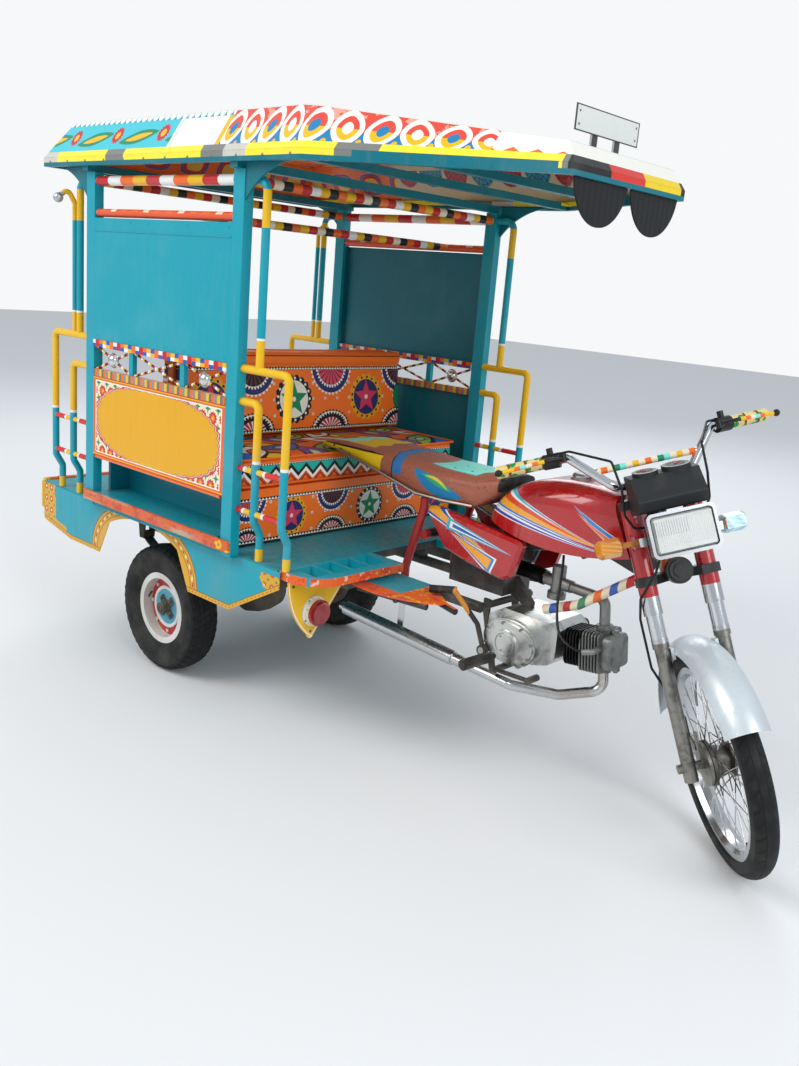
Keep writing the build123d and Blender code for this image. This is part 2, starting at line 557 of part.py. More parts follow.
# Cylinder and finned head lie forwards
CYLINDER = Location((626, 0, 408), (0, -7, 0))
FIN_T = 2.6
FIN_PITCH = 9.0
BARREL_FINS = 5
HEAD_FINS = 7
with BuildPart() as engine_cylinder:
    rod(CYLINDER, (4.5, 0, 0), (54, 0, 0), 40)
    for index in range(BARREL_FINS):
        with BuildSketch(cross_plane(9 + index * FIN_PITCH, CYLINDER)):
            RectangleRounded(104, 98, 20)
        extrude(amount=FIN_T + 1)
    with BuildSketch(cross_plane(54, CYLINDER)):
        RectangleRounded(88, 84, 16)
    extrude(amount=84)
    for index in range(HEAD_FINS):
        with BuildSketch(cross_plane(60 + index * FIN_PITCH, CYLINDER)):
            RectangleRounded(116, 108, 14)
        extrude(amount=FIN_T)
    with BuildSketch(cross_plane(124, CYLINDER)):
        RectangleRounded(94, 88, 14)
    extrude(amount=22)
    chamfer(engine_cylinder.faces().sort_by(Axis.X)[-1].edges(), 6)
    rod(CYLINDER, (100, 0, 40), (100, 0, 66), 21)
    rod(CYLINDER, (100, 0, -40), (100, 0, -60), 19)
    # Tappet caps above and below, then the spark plug with its cap
    for way in (-1, 1):
        rod(CYLINDER, (135, 0, way * 40), (135, 0, way * 51), 11)
        rod(CYLINDER, (135, 0, way * 50), (135, 0, way * 56), 6)
    rod(CYLINDER, (118, -40, 14), (118, -66, 14), 7)
    bent_bar(CYLINDER, [(118, -64, 14), (118, -84, 14), (92, -92, 10)], 10, 8)

# Carburettor, its intake bend and the hose to the air box
PORT = Vector(*(CYLINDER * Location((100, 0, 66.3))).position)
with BuildPart() as carburettor:
    port_turn = Vector(*(CYLINDER * Location((100, 0, 132))).position)
    bent_bar(ROOT, [PORT, port_turn, (590, 0, 556)], 24, 14)
    rod(ROOT, (606, 0, 556), (520, 0, 560), 17)
    rod(ROOT, (562, 0, 516), (562, 0, 604), 19)
    rod(ROOT, (562, 0, 514), (562, 0, 532), 25)
    bent_bar(ROOT, [(522, 0, 560), (478, 0, 566), (BOX_X[1] + SEAT_GAP, 0, 566)], 40, 21)

# Exhaust: header from the head's lower port, then the long silencer on the right
OUTLET = Vector(*(CYLINDER * Location((100, 0, -60.3))).position)
SILENCER_Y = -132.0
SILENCER_R = 21.0
PIPE_R = 14.0
with BuildPart() as exhaust:
    outlet_turn = Vector(*(CYLINDER * Location((100, 0, -112))).position)
    bent_bar(ROOT, [OUTLET, outlet_turn, (650, -70, 284), (540, SILENCER_Y, 288),
                    (350, SILENCER_Y, 298)], 34, PIPE_R)
    rod(ROOT, (372, SILENCER_Y, 297), (330, SILENCER_Y, 299), PIPE_R + 3)
    rod(ROOT, (340, SILENCER_Y, 298.6), (-90, SILENCER_Y, 322), SILENCER_R)
    rod(ROOT, (-90, SILENCER_Y, 322), (-112, SILENCER_Y, 323.2), 12)
    rod(ROOT, (-60, SILENCER_Y, 320.3), (-115, SILENCER_Y, 323.4), 8, mode=Mode.SUBTRACT)
    # Hanger to the neck rail
    block(ROOT, (106, 128), (-NECK_Y - 6, -NECK_Y - 2), (308, NECK_Z - NECK_R - SEAT_GAP))

# Foot pegs on a bar under the crankcase, with the brake pedal and gear lever
PEG_X = 492.0
PEG_BAR_Z = 319.5
with BuildPart() as foot_controls:
    bent_bar(ROOT, [(PEG_X, -168, 362), (PEG_X, -156, PEG_BAR_Z), (PEG_X, 156, PEG_BAR_Z),
                    (PEG_X, 168, 362)], 12, 9)
    for side in (-1, 1):
        rod(ROOT, (PEG_X, side * 160, 362), (PEG_X, side * 290, 366), 10)
        rod(ROOT, (PEG_X, side * 180, 362.6), (PEG_X, side * 286, 366), 15)
    bent_bar(ROOT, [(PEG_X + 2, -152, 324), (600, -152, 328), (640, -170, 352)], 20, 6)
    rod(ROOT, (636, -160, 350), (636, -205, 350), 9)
    bent_bar(ROOT, [(452, 132, 372), (530, 136, 360), (630, 140, 366)], 30, 6)
    rod(ROOT, (452, ENGINE_HALF + 34 + SEAT_GAP, 372), (452, 142, 372), 9)
    rod(ROOT, (628, 134, 366), (628, 176, 366), 10)
    # Kick starter on its shaft
    with BuildSketch(side_plane(-ENGINE_HALF - 46)):
        with Locations((432, 352)):
            Circle(15)
            Circle(9 + 0.2, mode=Mode.SUBTRACT)
    extrude(amount=15)
    bent_bar(ROOT, [(428, -ENGINE_HALF - 53, 366), (408, -ENGINE_HALF - 56, 420), (350, -172, 508)], 20, 7)
    rod(ROOT, (354, -166, 506), (292, -206, 502), 11)

# Rear axle: tube, differential housing, spindles and brake plates
AXLE_TUBE_R = 22.0
SPINDLE_R = 12.0
HUB_IN = 46.0
HUB_OUT = 24.0
AXLE = Location((REAR_AXLE_X, 0, REAR_TYRE_R))
SPRING_Y = CHASSIS_Y
SPRING_SPAN = 330.0
SPRING_W = 34.0
LEAF_T = 7.0
with BuildPart() as rear_axle:
    stop = REAR_WHEEL_Y - HUB_IN - 1
    rod(AXLE, (0, -stop, 0), (0, stop, 0), AXLE_TUBE_R)
    rod(AXLE, (0, -REAR_WHEEL_Y - HUB_OUT - 16, 0), (0, REAR_WHEEL_Y + HUB_OUT + 16, 0), SPINDLE_R)
    for side in (-1, 1):
        rod(AXLE, (0, side * (stop - 8), 0), (0, side * stop, 0), 78)
        rod(AXLE, (0, side * (REAR_WHEEL_Y + HUB_OUT + 1), 0), (0, side * (REAR_WHEEL_Y + HUB_OUT + 13), 0), 19)
        block(AXLE, (-40, 40), (side * SPRING_Y - 30, side * SPRING_Y + 30), (18, 30))
    ring(AXLE, [(-95, 0), (-95, 34), (-62, 74), (-20, 84), (20, 84), (62, 74), (95, 34), (95, 0)])
    # Leaf springs under the chassis rails, with their hangers
    for side in (-1, 1):
        y = side * SPRING_Y + SPRING_W / 2
        for index, share in enumerate((1.0, 0.74, 0.5, 0.28)):
            low = REAR_TYRE_R + 30 + SEAT_GAP + (3 - index) * LEAF_T
            half = SPRING_SPAN * share
            rise = 92 * share * share
            with BuildSketch(side_plane(y)):
                with BuildLine():
                    ThreePointArc((REAR_AXLE_X - half, low + rise), (REAR_AXLE_X, low), (REAR_AXLE_X + half, low + rise))
                    Line((REAR_AXLE_X + half, low + rise), (REAR_AXLE_X + half, low + rise + LEAF_T))
                    ThreePointArc((REAR_AXLE_X + half, low + rise + LEAF_T), (REAR_AXLE_X, low + LEAF_T),
                                  (REAR_AXLE_X - half, low + rise + LEAF_T))
                    Line((REAR_AXLE_X - half, low + rise + LEAF_T), (REAR_AXLE_X - half, low + rise))
                make_face()
            extrude(amount=SPRING_W)
        eye_z = REAR_TYRE_R + 30 + 3 * LEAF_T + 92 + 10
        for end in (-1, 1):
            x = REAR_AXLE_X + end * SPRING_SPAN
            rod(ROOT, (x, y - SPRING_W, eye_z), (x, y, eye_z), 13)
            for cheek in (side * SPRING_Y - SPRING_W / 2 - 6, side * SPRING_Y + SPRING_W / 2):
                slab(side_plane(cheek + 6), [(x - 12, eye_z - 12), (x + 12, eye_z - 12),
                                             (x + 24, CHASSIS_LOW_Z - SEAT_GAP), (x - 24, CHASSIS_LOW_Z - SEAT_GAP)], 6)
        for bolt in (-26, 26):
            x = REAR_AXLE_X + bolt
            for edge in (side * SPRING_Y - SPRING_W / 2 - 5, side * SPRING_Y + SPRING_W / 2 + 5):
                rod(ROOT, (x, edge, REAR_TYRE_R + 30 + SEAT_GAP), (x, edge, REAR_TYRE_R + 74), 5)
            rod(ROOT, (x, side * SPRING_Y - SPRING_W / 2 - 10, REAR_TYRE_R + 69),
                (x, side * SPRING_Y + SPRING_W / 2 + 10, REAR_TYRE_R + 69), 5)

# Rear wheels: balloon tyres on dished pressed wheels
CROWN_ARC = 14.0
DRUM_R = 70.0
RIM_BOLTS = 8
RIM_BOLT_R = 84.0
for_side = {"right": -1, "left": 1}
rear_tyres = {}
rear_wheels = {}
for name, side in for_side.items():
    frame = Location((REAR_AXLE_X, side * REAR_WHEEL_Y, REAR_TYRE_R))
    half = REAR_TYRE_WIDTH / 2
    with BuildPart() as rear_tyre:
        with BuildSketch(cross_plane(0, frame)):
            with BuildLine():
                Polyline((REAR_RIM_HALF - 2, REAR_FLANGE_R + SEAT_GAP), (REAR_RIM_HALF - 5, REAR_FLANGE_R - 1),
                         (REAR_RIM_HALF - 5, REAR_BEAD_R + SEAT_GAP), (5 - REAR_RIM_HALF, REAR_BEAD_R + SEAT_GAP),
                         (5 - REAR_RIM_HALF, REAR_FLANGE_R - 1), (2 - REAR_RIM_HALF, REAR_FLANGE_R + SEAT_GAP))
                ThreePointArc((2 - REAR_RIM_HALF, REAR_FLANGE_R + SEAT_GAP), (-half, 158),
                              (6 - half, REAR_TYRE_R - CROWN_ARC))
                ThreePointArc((6 - half, REAR_TYRE_R - CROWN_ARC), (0, REAR_TYRE_R),
                              (half - 6, REAR_TYRE_R - CROWN_ARC))
                ThreePointArc((half - 6, REAR_TYRE_R - CROWN_ARC), (half, 158),
                              (REAR_RIM_HALF - 2, REAR_FLANGE_R + SEAT_GAP))
            make_face()
        revolve(axis=axle(frame))
    rear_tyres[name] = rear_tyre
    with BuildPart() as rear_wheel:
        rim = REAR_RIM_HALF
        ring(frame, [(-rim, REAR_FLANGE_R), (-rim, REAR_BEAD_R - 3), (rim, REAR_BEAD_R - 3), (rim, REAR_FLANGE_R),
                     (rim - 5, REAR_FLANGE_R - 2), (rim - 5, REAR_BEAD_R), (5 - rim, REAR_BEAD_R),
                     (5 - rim, REAR_FLANGE_R - 2)])
        # Flat disc with its bolts, then the drum with a raised lip, and the cross flange of the half shaft
        ring(frame, [(side * -2, SPINDLE_R + RUNNING_GAP), (side * -2, REAR_BEAD_R - 2), (side * 3, REAR_BEAD_R - 2),
                     (side * 3, SPINDLE_R + RUNNING_GAP)])
        ring(frame, [(-side * HUB_IN, SPINDLE_R + RUNNING_GAP), (-side * HUB_IN, DRUM_R - 2), (-side * 10, DRUM_R),
                     (side * 11, DRUM_R), (side * 14, DRUM_R - 3), (side * 14, DRUM_R - 10), (side * 10, DRUM_R - 13),
                     (side * 10, 24), (side * HUB_OUT, 20), (side * HUB_OUT, SPINDLE_R + RUNNING_GAP)])
        for index in range(RIM_BOLTS):
            angle = radians(360 / RIM_BOLTS * index)
            x, z = RIM_BOLT_R * sin(angle), RIM_BOLT_R * cos(angle)
            rod(frame, (x, side * 2, z), (x, side * 9, z), 6)
        for index in range(4):
            arm = frame * Location((0, 0, 0), (0, 45 + 90 * index, 0))
            block(arm, (-11, 11), (side * 9, side * 16), (14, 42))
            rod(arm, (0, side * 15, 34), (0, side * 20, 34), 5)
    rear_wheels[name] = rear_wheel

# Chassis: rails, cross members and the neck that carries the engine
CROSS_W = 40.0
CROSS_X = (-1225, -1010, REAR_AXLE_X + 110, -360, -150, DECK_FRONT_X - 76)
BUMPER_X = DECK_REAR_X - 38
BUMPER_HALF = SKIRT_Y - 20
with BuildPart() as chassis_frame:
    for side in (-1, 1):
        y = side * CHASSIS_Y
        block(ROOT, (DECK_REAR_X + 4, DECK_FRONT_X - 20), (y - CHASSIS_W / 2, y + CHASSIS_W / 2),
              (CHASSIS_LOW_Z, CHASSIS_TOP_Z))
        rod(ROOT, (-370, side * NECK_Y, NECK_Z), (NECK_FRONT_X, side * NECK_Y, NECK_Z), NECK_R)
        block(ROOT, (-372, DECK_FRONT_X - 58), (side * NECK_Y - 8, side * NECK_Y + 8), (NECK_Z, CHASSIS_TOP_Z))
    for x in CROSS_X:
        block(ROOT, (x - CROSS_W / 2, x + CROSS_W / 2), (-SKIRT_Y + 3, SKIRT_Y - 3), (CHASSIS_TOP_Z - 1, FLOOR_Z - SHEET))
    rod(ROOT, (NECK_FRONT_X - 4, -NECK_Y - 12, NECK_Z), (NECK_FRONT_X - 4, NECK_Y + 12, NECK_Z), 10)
    # Plates from the neck to the rear of the crankcase
    for side in (-1, 1):
        y = side * 66
        slab(side_plane(y + 4), [(NECK_FRONT_X - 24, 474), (NECK_FRONT_X - 24, 440), (NECK_FRONT_X - 3, 360),
                                 (NECK_FRONT_X - 3, 474)], 8)
    # Rear bumper on its two stubs
    for z in (425, 515):
        rod(ROOT, (BUMPER_X, -BUMPER_HALF, z), (BUMPER_X, BUMPER_HALF, z), 12)
    for share in (-1, -0.5, 0, 0.5, 1):
        rod(ROOT, (BUMPER_X, share * BUMPER_HALF, 425), (BUMPER_X, share * BUMPER_HALF, 515), 10)
    for side in (-1, 1):
        for z in (430, 510):
            y = side * BUMPER_HALF / 2
            rod(ROOT, (DECK_REAR_X - SEAT_GAP, y, z), (BUMPER_X, y, z), 9)

# Side skirts with the wheel arches, and the rear apron
SKIRT_T = 2.0
SKIRT_TOP_Z = FLOOR_Z - SHEET - 0.2
ARCH_X = REAR_AXLE_X + 25
ARCH_TOP_Z = 512.0
with BuildPart() as side_skirts:
    for side in (-1, 1):
        y = side * SKIRT_Y + (SKIRT_T if side > 0 else 0)
        with BuildSketch(side_plane(y)) as skirt_face:
            Polygon((DECK_REAR_X, SKIRT_TOP_Z), (DECK_REAR_X, 392), (DECK_REAR_X + 22, 386), (-1072, SKIRT_LOW_Z),
                    (-196, SKIRT_LOW_Z), (17, 473), (17, SKIRT_TOP_Z), align=None)
            with BuildLine():
                Line((ARCH_X - ARCH_R, SKIRT_LOW_Z - 5), (ARCH_X - 188, 470))
                ThreePointArc((ARCH_X - 188, 470), (ARCH_X, ARCH_TOP_Z), (ARCH_X + 188, 470))
                Polyline((ARCH_X + 188, 470), (ARCH_X + ARCH_R, SKIRT_LOW_Z - 5), (ARCH_X - ARCH_R, SKIRT_LOW_Z - 5))
            make_face(mode=Mode.SUBTRACT)
        extrude(amount=SKIRT_T)
    block(ROOT, (DECK_REAR_X, DECK_REAR_X + SKIRT_T), (-SKIRT_Y, SKIRT_Y), (420, SKIRT_TOP_Z))

POST_XS = (CABIN_X - POST_PITCH / 2, CABIN_X + POST_PITCH / 2)
POST_CENTRE_Y = HALF_WIDTH - POST_Y / 2
BAY = (POST_XS[0] + POST_X / 2, POST_XS[1] - POST_X / 2)
POST_TOP_Z = 1540.0
BENCH_INSET = 63.0
BENCH_HALF = HALF_WIDTH - BENCH_INSET
PLY = 12.0

# Cabin floor: one sheet under the posts, benches and decks
with BuildPart() as cabin_floor:
    block(ROOT, (DECK_REAR_X, DECK_FRONT_X - 55), (-SKIRT_Y, SKIRT_Y), (FLOOR_Z - SHEET, FLOOR_Z))
    block(ROOT, (BAY[0] - POST_X - 12, BAY[1] + POST_X + 12), (-HALF_WIDTH, HALF_WIDTH), (FLOOR_Z - SHEET, FLOOR_Z))
    for side in (-1, 1):
        # Ledge outside the bench wall, on its upstand
        block(ROOT, (BAY[0] + SEAT_GAP, BENCH_FRONT_X - PLY - SEAT_GAP),
              (side * (WALL_Y + SEAT_GAP), side * (HALF_WIDTH - 2)), (LEDGE_Z - SHEET, LEDGE_Z))
        block(ROOT, (BAY[0] + SEAT_GAP, BAY[1] - SEAT_GAP), (side * (HALF_WIDTH - 2 - SHEET), side * (HALF_WIDTH - 2)),
              (FLOOR_Z, LEDGE_Z - SHEET))

# Slotted entry step at each front corner, with a rounded corner and a rolled edge
STEP_X = (DECK_FRONT_X - 54, DECK_FRONT_X + 80)
STEP_Y = (148.0, SKIRT_Y - 6)
STEP_CORNER = 95.0
STEP_SLOTS = 4
STEP_LOW_Z = CHASSIS_TOP_Z + SEAT_GAP
SHIELD_X = 45.0
SHIELD_Y = SKIRT_Y - 114
with BuildPart() as entry_platform:
    for side in (-1, 1):
        with BuildSketch(flat_plane(STEP_LOW_Z)) as step_plan:
            with Locations(((STEP_X[0] + STEP_X[1]) / 2, side * (STEP_Y[0] + STEP_Y[1]) / 2)):
                Rectangle(STEP_X[1] - STEP_X[0], STEP_Y[1] - STEP_Y[0])
            corner = step_plan.vertices().sort_by(lambda v: -v.X * 1000 - side * v.Y)[0]
            fillet(corner, STEP_CORNER)
        extrude(amount=FLOOR_Z - STEP_LOW_Z)
        pitch = (STEP_Y[1] - STEP_Y[0] - 60) / STEP_SLOTS
        for index in range(STEP_SLOTS):
            y = side * (STEP_Y[0] + 26 + pitch * (index + 0.5))
            block(ROOT, (STEP_X[0] + 16, STEP_X[1] - 34), (y - pitch / 2 + 7, y + pitch / 2 - 7),
                  (FLOOR_Z - 30, FLOOR_Z + 4), mode=Mode.SUBTRACT)
    # Shield plates that hang under the step
    for side in (-1, 1):
        with BuildSketch(cross_plane(SHIELD_X)):
            with BuildLine():
                Line((side * (SHIELD_Y - 118), STEP_LOW_Z - SEAT_GAP), (side * (SHIELD_Y + 112), STEP_LOW_Z - SEAT_GAP))
                ThreePointArc((side * (SHIELD_Y + 112), STEP_LOW_Z - SEAT_GAP), (side * (SHIELD_Y + 98), 430),
                              (side * (SHIELD_Y + 34), 338))
                ThreePointArc((side * (SHIELD_Y + 34), 338), (side * (SHIELD_Y + 22), 326),
                              (side * (SHIELD_Y + 8), 336))
                Line((side * (SHIELD_Y + 8), 336), (side * (SHIELD_Y - 118), STEP_LOW_Z - SEAT_GAP))
            make_face()
        extrude(amount=2.5)

# Foot plates between the step and the engine, on their slanted beams
FOOT_Z = 482.0
with BuildPart() as foot_plates:
    for side in (-1, 1):
        with BuildSketch(flat_plane(FOOT_Z)):
            with BuildLine():
                Polyline((250, side * 134), (NECK_FRONT_X - 30, side * 222), (NECK_FRONT_X - 34, side * 246))
                ThreePointArc((NECK_FRONT_X - 34, side * 246), (270, side * 306), (STEP_X[1] - 30, side * 318))
                Polyline((STEP_X[1] - 30, side * 318), (STEP_X[1] - 30, side * 134), (250, side * 134))
            make_face()
        extrude(amount=4)
        rod(ROOT, (STEP_X[1] - 24, side * 142, FOOT_Z - 8), (NECK_FRONT_X + 8, side * 232, FOOT_Z - 8), 9)
        rod(ROOT, (STEP_X[1] - 24, side * 300, FOOT_Z - 8), (NECK_FRONT_X - 60, side * 268, FOOT_Z - 8), 9)
        rod(ROOT, (STEP_X[1] + 20, side * (NECK_Y + NECK_R - 0.5), FOOT_Z - 8),
            (STEP_X[1] + 20, side * 302, FOOT_Z - 8), 9)
        rod(ROOT, (250, side * (NECK_Y + NECK_R - 0.5), FOOT_Z - 8), (250, side * 296, FOOT_Z - 8), 9)

# Round lamps, on the shields and at the rear
LAMP_R = 37.0
with BuildPart() as marker_lamps:
    for side in (-1, 1):
        for step, radius, depth in ((0, LAMP_R + 6, 6), (6, LAMP_R, 22), (28, LAMP_R - 7, 8)):
            with BuildSketch(cross_plane(SHIELD_X + 2.5 + step)):
                with Locations((side * (SHIELD_Y + 14), 405)):
                    Circle(radius)
            extrude(amount=depth)
        rod(ROOT, (DECK_REAR_X, side * 330, 470), (DECK_REAR_X - 24, side * 330, 470), LAMP_R - 5)

# Cabin posts with the top, sill and cross rails
with BuildPart() as cabin_posts:
    for side in (-1, 1):
        y = side * POST_CENTRE_Y
        for x in POST_XS:
            block(ROOT, (x - POST_X / 2, x + POST_X / 2), (y - POST_Y / 2, y + POST_Y / 2), (FLOOR_Z, POST_TOP_Z))
        rod(ROOT, (POST_XS[0], y, RAIL_TOP_Z - 4), (POST_XS[1], y, RAIL_TOP_Z - 4), 14)
        rod(ROOT, (POST_XS[0], y, SILL_Z), (POST_XS[1], y, SILL_Z), SILL_R)
    for x in POST_XS:
        rod(ROOT, (x, -POST_CENTRE_Y, RAIL_TOP_Z - 4), (x, POST_CENTRE_Y, RAIL_TOP_Z - 4), 13)
    rod(ROOT, (BAY[1] - 165, -POST_CENTRE_Y, SILL_Z), (BAY[1] - 165, POST_CENTRE_Y, SILL_Z), 12)

# Side panels: the plain upper panels and the painted lower ones, with folded edges
PAINTED_TOP_Z = GALLERY_Z - 22
PANEL_FOLD = 16.0
with BuildPart() as side_panels:
    for side in (-1, 1):
        for low, high in ((PANEL_LOW_Z, SILL_Z - SILL_R - 3), (PAINTED_LOW_Z, PAINTED_TOP_Z)):
            x = (BAY[0] + SEAT_GAP, BAY[1] - SEAT_GAP)
            block(ROOT, x, (side * (HALF_WIDTH - 2), side * HALF_WIDTH), (low, high))
            for edge in (low, high - 2):
                block(ROOT, x, (side * (HALF_WIDTH - PANEL_FOLD), side * (HALF_WIDTH - 2)), (edge, edge + 2))
            for x0 in (x[0], x[1] - 2):
                block(ROOT, (x0, x0 + 2), (side * (HALF_WIDTH - PANEL_FOLD), side * (HALF_WIDTH - 2)), (low, high))

# Gallery between the panels, and the edge rail along the ledge
with BuildPart() as gallery_rails:
    for side in (-1, 1):
        y = (side * (HALF_WIDTH - 18), side * (HALF_WIDTH + 3))
        x = (BAY[0] + SEAT_GAP, BAY[1] - SEAT_GAP)
        block(ROOT, x, y, (PANEL_LOW_Z - 22, PANEL_LOW_Z - SEAT_GAP))
        block(ROOT, x, y, (PAINTED_TOP_Z + SEAT_GAP, GALLERY_Z))
        posts = (BAY[0], CABIN_X - 130, CABIN_X + 130, BAY[1])
        for x_post in posts[1:3]:
            block(ROOT, (x_post - 10, x_post + 10), (side * (HALF_WIDTH - 17), side * (HALF_WIDTH - 2)),
                  (GALLERY_Z, PANEL_LOW_Z - 22))
        for left, right in zip(posts[:-1], posts[1:]):
            for low, high in ((GALLERY_Z - 1, PANEL_LOW_Z - 21), (PANEL_LOW_Z - 21, GALLERY_Z - 1)):
                rod(ROOT, (left + 6, side * (HALF_WIDTH - 9), low), (right - 6, side * (HALF_WIDTH - 9), high), 4)
        block(ROOT, (POST_XS[0] - POST_X / 2, POST_XS[1] + POST_X / 2), (side * (HALF_WIDTH + SEAT_GAP), side * (HALF_WIDTH + 9)),
              (LEDGE_Z - 28, LEDGE_Z + 3))

# Guard rails at the four corners, with the hooked poles at the rear
GUARD_INSET = 21.0
GUARD_Y = HALF_WIDTH - GUARD_INSET
FRONT_GUARD = {"outer": (25, 1042), "inner": (-90, 955), "upper": -94}
REAR_GUARD = {"outer": (-1150, 1050), "inner": (-1035, 958), "upper": -995}
with BuildPart() as guard_rails:
    for side in (-1, 1):
        y = side * GUARD_Y
        for guard, face, away in ((FRONT_GUARD, POST_XS[1] + POST_X / 2, 1), (REAR_GUARD, POST_XS[0] - POST_X / 2, -1)):
            for key in ("outer", "inner"):
                x, z = guard[key]
                foot_y = side * (GUARD_Y - 24)
                bent_bar(ROOT, [(face + away * SEAT_GAP, y, z), (x, y, z), (x, y, 640), (x, foot_y, 600),
                                (x, foot_y, FLOOR_Z + SEAT_GAP)], 18, GUARD_R)
            x_outer, z_outer = guard["outer"]
            bent_bar(ROOT, [(face + away * SEAT_GAP, y, RAIL_TOP_Z - 4), (guard["upper"], y, RAIL_TOP_Z - 4),
                            (guard["upper"], y, z_outer)], 30, GUARD_R)
            for z in (775, 660):
                rod(ROOT, (face + away * SEAT_GAP, y, z), (x_outer, y, z), 8)
        hook_x = REAR_GUARD["upper"] - 32
        hook_z = REAR_GUARD["outer"][1]
        bent_bar(ROOT, [(hook_x, y, hook_z), (hook_x, y, 1450), (hook_x, y + side * 24, 1490),
                        (hook_x, y + side * 52, 1468)], 16, 8)
        with Locations((hook_x, y + side * 56, 1462)):
            Sphere(15)

# Bench boxes back to back, on one board
with BuildPart() as bench_frames:
    for x in (BENCH_FRONT_X - PLY, BENCH_REAR_X):
        block(ROOT, (x, x + PLY), (-BENCH_HALF, BENCH_HALF), (FLOOR_Z + 0.1, BENCH_TOP_Z - PLY))
    for side in (-1, 1):
        block(ROOT, (BENCH_REAR_X + PLY, BENCH_FRONT_X - PLY), (side * (WALL_Y - 4), side * WALL_Y),
              (FLOOR_Z + 0.1, BENCH_TOP_Z - PLY))
    block(ROOT, (BENCH_REAR_X, BENCH_FRONT_X), (-BENCH_HALF, BENCH_HALF), (BENCH_TOP_Z - PLY, BENCH_TOP_Z))
    block(ROOT, (BAY[0] + 0.5, BENCH_FRONT_X), (-HALF_WIDTH + 4, HALF_WIDTH - 4), (BENCH_TOP_Z - PLY, BENCH_TOP_Z - 4))
    block(ROOT, (BOARD_X, BOARD_X + BOARD_T), (-BENCH_HALF, BENCH_HALF), (BENCH_TOP_Z, BACK_TOP_Z - 12))

with BuildPart() as bench_cushions:
    for x in ((BOARD_X + BOARD_T + SEAT_GAP, BENCH_FRONT_X + 12), (BENCH_REAR_X - 12, BOARD_X - SEAT_GAP)):
        block(ROOT, x, (-BENCH_HALF + 2, BENCH_HALF - 2), (BENCH_TOP_Z + SEAT_GAP, BENCH_TOP_Z + CUSHION_T))
    fillet(bench_cushions.edges().filter_by(Axis.Z), 20)

with BuildPart() as bench_backrests:
    low = BENCH_TOP_Z + CUSHION_T + SEAT_GAP
    for face, away in ((BOARD_X + BOARD_T + SEAT_GAP, 1), (BOARD_X - SEAT_GAP, -1)):
        with BuildSketch(side_plane(BENCH_HALF - 2)):
            Polygon((face, low), (face + away * BACK_T, low + 6), (face + away * BACK_T, low + 60),
                    (face + away * (BACK_T - 20), BACK_TOP_Z - 18), (face + away * (BACK_T - 34), BACK_TOP_Z),
                    (face, BACK_TOP_Z), align=None)
        extrude(amount=2 * BENCH_HALF - 4)

# Roof frame: cross beams on the posts, the eave rails that taper to the visor, and curved gussets
EAVE_RAIL_Z = (1554.0, EAVE_Z - SEAT_GAP)
EAVE_PLAN = [(EAVE_REAR_X, -EAVE_Y), (EAVE_CORNER_X, -EAVE_Y), (VISOR_X, -VISOR_Y), (VISOR_X, VISOR_Y),
             (EAVE_CORNER_X, EAVE_Y), (EAVE_REAR_X, EAVE_Y)]
with BuildPart() as roof_frame:
    with BuildSketch(flat_plane(EAVE_RAIL_Z[0])):
        Polygon(*EAVE_PLAN, align=None)
        with BuildSketch(mode=Mode.PRIVATE) as eave_outline:
            Polygon(*EAVE_PLAN, align=None)
        offset(eave_outline.sketch, amount=-16, kind=Kind.INTERSECTION, mode=Mode.SUBTRACT)
    extrude(amount=EAVE_RAIL_Z[1] - EAVE_RAIL_Z[0])
    for x in POST_XS:
        block(ROOT, (x - 14, x + 14), (-EAVE_Y + 8, EAVE_Y - 8), (POST_TOP_Z + SEAT_GAP, EAVE_RAIL_Z[0] + 8))
    for x in (EAVE_CORNER_X, 350):
        half = EAVE_Y - 8 - (max(0, x - EAVE_CORNER_X)) * (EAVE_Y - VISOR_Y) / (VISOR_X - EAVE_CORNER_X)
        block(ROOT, (x - 12, x + 12), (-half, half), (EAVE_RAIL_Z[0], EAVE_RAIL_Z[0] + 20))
    for side in (-1, 1):
        for x, away in ((POST_XS[0], -1), (POST_XS[1], 1)):
            start = x + away * (POST_X / 2 + SEAT_GAP)
            with BuildSketch(side_plane(side * (GUARD_Y + GUARD_R + 4.5) + 3)):
                with BuildLine():
                    Line((start, POST_TOP_Z - 75), (start, EAVE_RAIL_Z[0] + 4))
                    Line((start, EAVE_RAIL_Z[0] + 4), (start + away * 190, EAVE_RAIL_Z[0] + 4))
                    ThreePointArc((start + away * 190, EAVE_RAIL_Z[0] + 4), (start + away * 76, 1528),
                                  (start, POST_TOP_Z - 75))
                make_face()
            extrude(amount=6)

# Roof skin: a sheet whose fascia leans in all round and whose front drops to the visor
ROOF_T = 2.5
ROOF_BREAK_X = EAVE_CORNER_X - 70


def roof_top(x):
    """Height of the roof's top in front of the break, where it drops to the visor."""
    return EAVE_Z + ROOF_RISE - (ROOF_RISE - VISOR_RISE) * (x - ROOF_BREAK_X) / (VISOR_X - ROOF_BREAK_X)


with BuildPart() as roof_skin:
    with BuildSketch(flat_plane(EAVE_Z)):
        Polygon(*EAVE_PLAN, align=None)
    extrude(amount=ROOF_RISE, taper=FASCIA_LEAN)
    ends = (ROOF_BREAK_X, VISOR_X + 60)
    slab(side_plane(EAVE_Y + 10), [(ends[0], EAVE_Z + ROOF_RISE + 50), (ends[0], roof_top(ends[0])),
                                   (ends[1], roof_top(ends[1])), (ends[1], EAVE_Z + ROOF_RISE + 50)],
         2 * EAVE_Y + 20, Mode.SUBTRACT)
    offset(amount=-ROOF_T, openings=roof_skin.faces().sort_by(Axis.Z)[0], kind=Kind.INTERSECTION)

